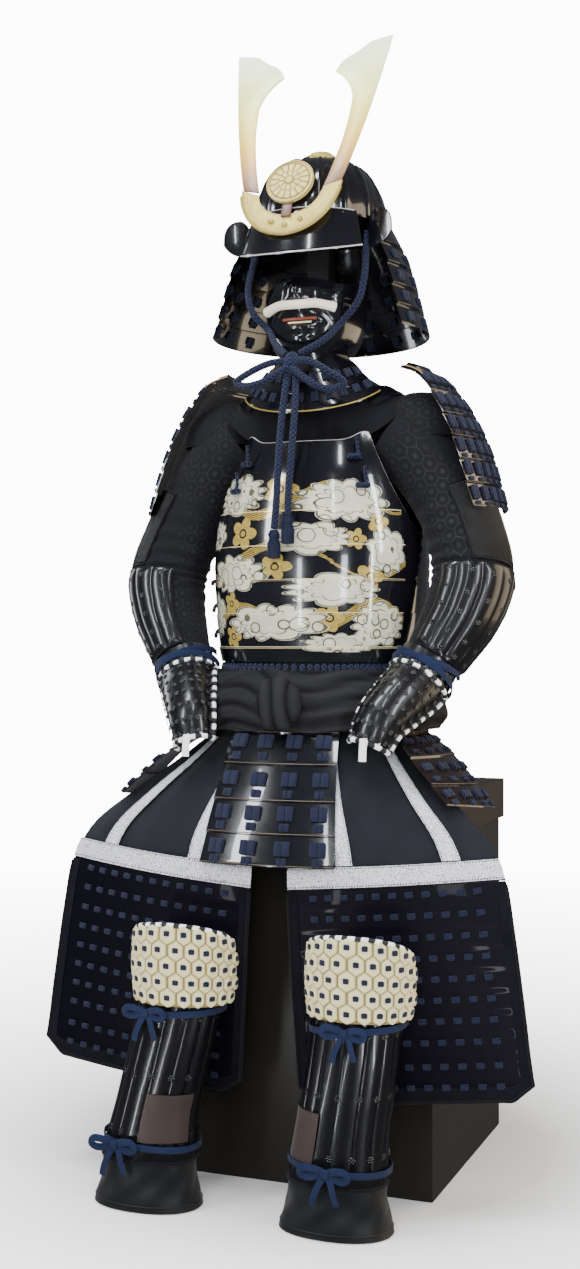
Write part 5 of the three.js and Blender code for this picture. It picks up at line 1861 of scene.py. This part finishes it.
def quilting(s, t):
    """A raised outline round each hexagon, with a soft cushion inside."""
    wide, high = 2 * KNEE["hexes"], 2 * KNEE["rows"]
    best = 9.0
    for x, z in HEX_PLACES:
        across = abs(s - x) * wide / 2
        up = abs(t - z) * high / 2 * 0.866
        if across < 0.9 and up < 0.9:
            best = min(best, max(across, across * 0.5 + up * 0.866) * 2)
    if best > 1.06:
        return 1.0
    cushion = 3.8 * smooth((0.98 - best) / 0.3)
    outline = 1.4 * math.exp(-(((best - 0.62) / 0.1) ** 2))
    return 0.6 + cushion + outline


def make_legs():
    for name, hand in SIDES:
        rows = LEGS[name]
        at = leg_at(rows)

        def splinted(s, t):
            if math.cos(TURN * s) <= 0:
                return 0.0
            edge = smooth(t * 14) * smooth((1 - t) * 14)
            return 3 * abs(math.sin(TURN * SPLINTS * s)) ** 0.5 * edge

        shell(f"shin guard {name}", at, evenly(8 * SPLINTS * 4), evenly(28), SPLINT, 2.2,
              splinted, closed=True, stands_for=[f"shin_guard_{name}"], slot="lacquer_black",
              angle=60)
        studs = []
        for t in (0.16, 0.5, 0.84):
            for k in range(-6, 7):
                studs.append(spot(at, k / 14, t, 1, 1.6))
        beads(f"shin studs {name}", studs, 1.8, 6, LACQUER)
        patch(f"shin mail {name}", at, (-0.25, 0.25), (0.905, 0.995), MAIL, 1.0, 3.2, 1, (60, 8),
              slot="lacquer_black")
        inner = 0.0 if name == "left" else -0.24
        patch(f"leather patch {name}", at, (inner, inner + 0.19), (0.13, 0.4), LEATHER, 1.2, 3.6,
              1, (30, 20), lambda s, t: 0.5 * math.sin(40 * s + 9 * t), slot="brocade_black")
        make_foot(name, rows[0])
        knee = knee_at(name)
        pad = shell(f"knee guard {name}", knee, evenly(216), evenly(90), QUILT, 2.4, quilting,
                    stands_for=[f"knee_guard_{name}"], slot="quilt_cream", angle=80)
        centres = [spot(knee, x, z, 1, 4.6) for x, z in HEX_PLACES]
        knots(f"knee ties {name}", centres, 8.6, 7.6, 4.4, pair=False)
        edge_strand(f"knee piping {name}", knee, 1.0, 0.0, 1.0, 6.6, PIPING, count=90,
                    slot="bone")
        # This hem has no relief, so the quilt material gives it the painted shade colour all over.
        edge_strand(f"knee hem {name}", knee, 0.0, 0.0, 1.0, 4.0, QUILT, count=90,
                    slot="quilt_cream")
        leg_ties(name, at, rows)


def leg_ties(name, at, rows):
    raised = lifted(at, 6.2)
    for k, (t, sway) in enumerate(((0.86, 0.02), (0.1, -0.015))):
        middle = read(rows, t)
        centre = (middle["x"], middle["y"])
        route = [tuple(raised(s, t + sway * math.sin(TURN * s))) for s in evenly(60)]
        flat_ribbon(f"leg tie {name} {k}", route, 10, centre)
        front = Vector(raised(-0.07 if name == "left" else 0.0, t))
        bow(f"leg bow {name} {k}", front + Vector((0, -4, 0)), 0.85 + 0.1 * k)


def bow(name, centre, size):
    """A flat tied bow: knot, two loops and two tails."""
    loops = (
        ((0, 0, 0), (-14, -6, 7), (-32, -8, 9), (-38, -6, 0), (-28, -4, -6), (-12, -3, -3),
         (0, 0, 0)),
        ((0, 0, 0), (14, -6, 6), (30, -8, 7), (36, -6, -2), (26, -4, -8), (12, -3, -4),
         (0, 0, 0)),
    )
    tails = (((0, -1, 0), (-8, -5, -14), (-16, -6, -32), (-20, -5, -48)),
             ((0, -1, 0), (9, -5, -12), (14, -6, -30), (19, -5, -44)))
    for k, route in enumerate(loops):
        places = [tuple(centre + Vector(p) * size) for p in route]
        strand(f"{name} loop {k}", places, 9 * size + 2, RIBBON, deep=2.4, face=(0, -1, 0.2),
               sides=10, step=2.4, slot="lace_navy")
    for k, route in enumerate(tails):
        places = [tuple(centre + Vector(p) * size) for p in route]
        strand(f"{name} tail {k}", places, 8 * size + 2, RIBBON, deep=2.0, face=(0, -1, 0.1),
               sides=10, step=2.4, slot="lace_navy")
    knots(f"{name} knot", [Matrix.Translation((centre + Vector((0, -3, 0))) * MM)
                           @ Matrix.Rotation(math.radians(90), 4, "X")],
          13 * size, 12 * size, 8, pair=False, material=RIBBON)


def make_foot(name, foot):
    low = 1.06
    top = foot["z"] - 1.2

    def at(s, t):
        flare = 12 * (1 - t) ** 2
        x, y, z = section(TURN * s, foot["wide"] + flare, foot["deep"] + flare * 0.6,
                          foot["y"] + 4 * (1 - t), mix(low, top, t), 0.9)
        return (x + foot["x"] - 4 * (1 - t), y, z)

    def creased(s, t):
        mid = math.sin(math.pi * t)
        return mid * (1.5 * math.sin(TURN * 4 * s + 5 * t) + 0.9 * math.sin(
            TURN * 9 * s - 9 * t + 1))

    cover = shell(f"foot cover {name}", at, evenly(120), evenly(36), BOOT, 2.4, creased,
                  closed=True, stands_for=[f"foot_cover_{name}"], slot="brocade_black",
                  angle=80)
    declare_sheet(at)
    edge_strand(f"foot seam {name}", at, 0.12, 0.0, 1.0, 2.0, BOOT, lift=0.9, count=90,
                slot="brocade_black")
    edge_strand(f"foot top {name}", at, 0.97, 0.0, 1.0, 4.0, BLACK_CLOTH, lift=0.8, count=90,
                slot="brocade_black")


# Chin cord with its bow and two hanging ends

CHIN_WIDE = 11
CHIN = {
    "right": ((95, -112, 1480), (95.1, -119, 1450), (98, -136, 1404), (90, -142, 1366),
              (61.8, -140.8, 1334), (41, -160, 1306), (5.6, -180.4, 1281.2)),
    "left": ((-95, -112, 1480), (-95.1, -120, 1448), (-97, -140, 1396), (-86, -146, 1358),
             (-61.6, -139.6, 1330), (-42, -161, 1304), (-15.9, -180.3, 1281.4)),
}
CHIN_LOOPS = (
    ((-8, -184, 1272), (-42, -188, 1268), (-78, -184, 1256), (-101, -177, 1244),
     (-80, -184, 1236), (-46, -190, 1242), (-10, -188, 1262)),
    ((-4, -184, 1272), (26, -188, 1268), (54, -184, 1252), (77, -172, 1234),
     (56, -182, 1224), (30, -190, 1234), (-4, -188, 1260)),
)
CHIN_ENDS = {
    "left": ((-13, -181, 1250.6), (-17, -190, 1200), (-19, -198, 1150), (-20, -204, 1100),
             (-22, -206, 1050), (-26, -206, 1008)),
    "right": ((1, -181, 1247.2), (3, -190, 1200), (2, -198, 1150), (0, -204, 1100),
              (-2, -206, 1060), (-3, -206, 1030)),
}
TASSEL = ((0.0, 0.0), (5.4, -0.4), (9.0, -8.0), (7.0, -14.0), (10.0, -24.0), (9.4, -44.0),
          (0.0, -46.0))


def make_chin():
    for name, route in CHIN.items():
        strand(f"chin cord {name}", route, CHIN_WIDE, NAVY, sides=16, step=2.2,
               stands_for=[f"chin_cord_{name}"], slot="lace_navy")
    for k, route in enumerate(CHIN_LOOPS):
        strand(f"chin loop {k}", route, CHIN_WIDE, NAVY, sides=16, step=2.2, slot="lace_navy")

    def knot(s, t):
        climb = math.pi * (t - 0.5)
        wrap = 1 + 0.09 * abs(math.sin(3 * math.pi * t))
        return (-5 + 14 * math.cos(climb) * math.sin(TURN * s) * wrap,
                -181 - 11 * math.cos(climb) * math.cos(TURN * s) * wrap,
                1268 + 18 * math.sin(climb))

    shell("chin knot", knot, evenly(32), evenly(24), NAVY, 0, closed=True,
          stands_for=["chin_bow"], slot="lace_navy")
    for name, route in CHIN_ENDS.items():
        end = strand(f"chin end {name}", route, CHIN_WIDE, NAVY, sides=16, step=2.2,
                     stands_for=[f"chin_end_{name}"], slot="lace_navy")
        x, y, z = route[-1]
        threads = spun(f"chin tassel {name}", [(r, d) for r, d in reversed(TASSEL)],
                       (x, y, z - 0.8), NAVY_KNOT, 60,
                       lambda angle, r: 0.5 * math.cos(30 * angle) if r > 5 else 0.0,
                       stands_for=[f"chin_tassel_{name}"], slot="lace_navy")
        path = [tuple(through(route, k) * MM) for k in evenly(60)]
        length = sum((Vector(b) - Vector(a)).length for a, b in zip(path, path[1:]))
        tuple(path[0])


# Chest, lid and stand keep their solids and take a soft edge

def keep_nodes():
    kept = (("chest_body", CHEST_WOOD), ("chest_lid", LID_WOOD), ("inner_stand", STAND_WOOD))
    for name, material in kept:
        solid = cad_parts[name]
        solid.data.materials.clear()
        solid.data.materials.append(material)
        bevel = solid.modifiers.new("edge", "BEVEL")
        bevel.width = 0.0016
        bevel.segments = 3
        bevel.limit_method = "ANGLE"


# Floor, light and backdrop

BACKDROP = 12.0


def make_stage():
    bm = bmesh.new()
    bmesh.ops.create_grid(bm, x_segments=2, y_segments=2, size=12)
    mesh = bpy.data.meshes.new("floor")
    bm.to_mesh(mesh)
    bm.free()
    floor = bpy.data.objects.new("floor", mesh)
    paper, tree, bsdf = new_material("floor_paper", {"Base Color": (0.9, 0.9, 0.9, 1),
                                                     "Roughness": 0.9,
                                                     "Emission Color": (1, 1, 1, 1)})
    away = vector(tree, "LENGTH", object_of(tree), output="Value")
    fade = node(tree, "ShaderNodeMapRange", {"Value": away, "From Min": 0.35, "From Max": 3.4,
                                             "To Max": BACKDROP})
    path = node(tree, "ShaderNodeLightPath")
    glow = calc(tree, "MULTIPLY", fade.outputs[0], path.outputs["Is Camera Ray"])
    tree.links.new(glow, bsdf.inputs["Emission Strength"])
    mesh.materials.append(paper)
    floor.location.z = -0.0004
    floor.visible_glossy = False
    bpy.context.scene.collection.objects.link(floor)


def soft_light(name, place, aim, wide, high, power, colour=(1, 1, 1), mirrored=True):
    data = bpy.data.lights.new(name, "AREA")
    data.shape = "RECTANGLE"
    data.size = wide
    data.size_y = high
    data.energy = power
    data.color = colour
    light = bpy.data.objects.new(name, data)
    light.location = place
    direction = Vector(aim) - Vector(place)
    light.rotation_euler = direction.to_track_quat("-Z", "Y").to_euler()
    light.visible_glossy = mirrored
    bpy.context.scene.collection.objects.link(light)


def make_lights():
    centre = (0.0, -0.1, 0.9)
    high = (0.0, -0.1, 1.3)
    cool = (0.93, 0.96, 1)
    soft_light("front left strip", (-1.5, -2.2, 2.0), high, 0.3, 1.3, 30, cool)
    soft_light("front right strip", (2.1, -1.4, 1.9), high, 0.22, 1.5, 26, cool)
    soft_light("thin strip", (0.3, -3.2, 2.5), high, 0.12, 1.0, 9, cool)
    soft_light("floor glint left", (-0.42, -1.2, 0.004), (-0.42, -1.2, 1.0), 0.05, 0.9, 5, cool)
    soft_light("floor glint right", (0.62, -1.25, 0.004), (0.62, -1.25, 1.0), 0.07, 0.9, 7, cool)
    soft_light("low left strip", (-0.9, -2.9, 0.7), (0.0, -0.3, 0.3), 0.1, 0.9, 7, cool)
    soft_light("low right strip", (2.2, -2.2, 0.8), (0.1, -0.3, 0.3), 0.16, 1.1, 13, cool)
    soft_light("face strip", (0.7, -2.6, 0.9), (0.0, -0.3, 1.3), 0.25, 0.5, 7, cool)
    soft_light("top box", (0.2, -0.6, 3.4), centre, 2.4, 2.0, 95, (1, 1, 1), False)
    soft_light("visor glint", (-0.62, -1.05, 3.1), high, 0.34, 0.8, 24, cool)
    soft_light("second glint", (0.35, -1.5, 3.0), high, 0.12, 0.9, 10, cool)
    soft_light("front fill", (0.9, -3.6, 2.2), centre, 2.6, 1.6, 85, (1, 1, 1), False)
    soft_light("warm side", (2.3, 0.9, 1.3), centre, 1.9, 2.6, 48, (1.0, 0.82, 0.56))
    soft_light("left side", (-2.3, 0.5, 1.4), centre, 0.5, 2.0, 16, (0.95, 0.97, 1))
    world = bpy.data.worlds.new("studio")
    world.use_nodes = True
    tree = world.node_tree
    background = tree.nodes["Background"]
    path = node(tree, "ShaderNodeLightPath")
    white = (BACKDROP + 0.4,) * 3
    seen = blend(tree, path.outputs["Is Camera Ray"], (0.1, 0.103, 0.112, 1), (*white, 1))
    tree.links.new(seen, background.inputs["Color"])
    background.inputs["Strength"].default_value = 1.0
    bpy.context.scene.world = world


make_helmet()
make_mask()
make_torso()
make_waist()
make_sash()
make_tassets()
make_arms()
make_shoulder_guards()
make_apron()
make_fittings()
make_legs()
make_chin()
keep_nodes()
make_stage()
make_lights()
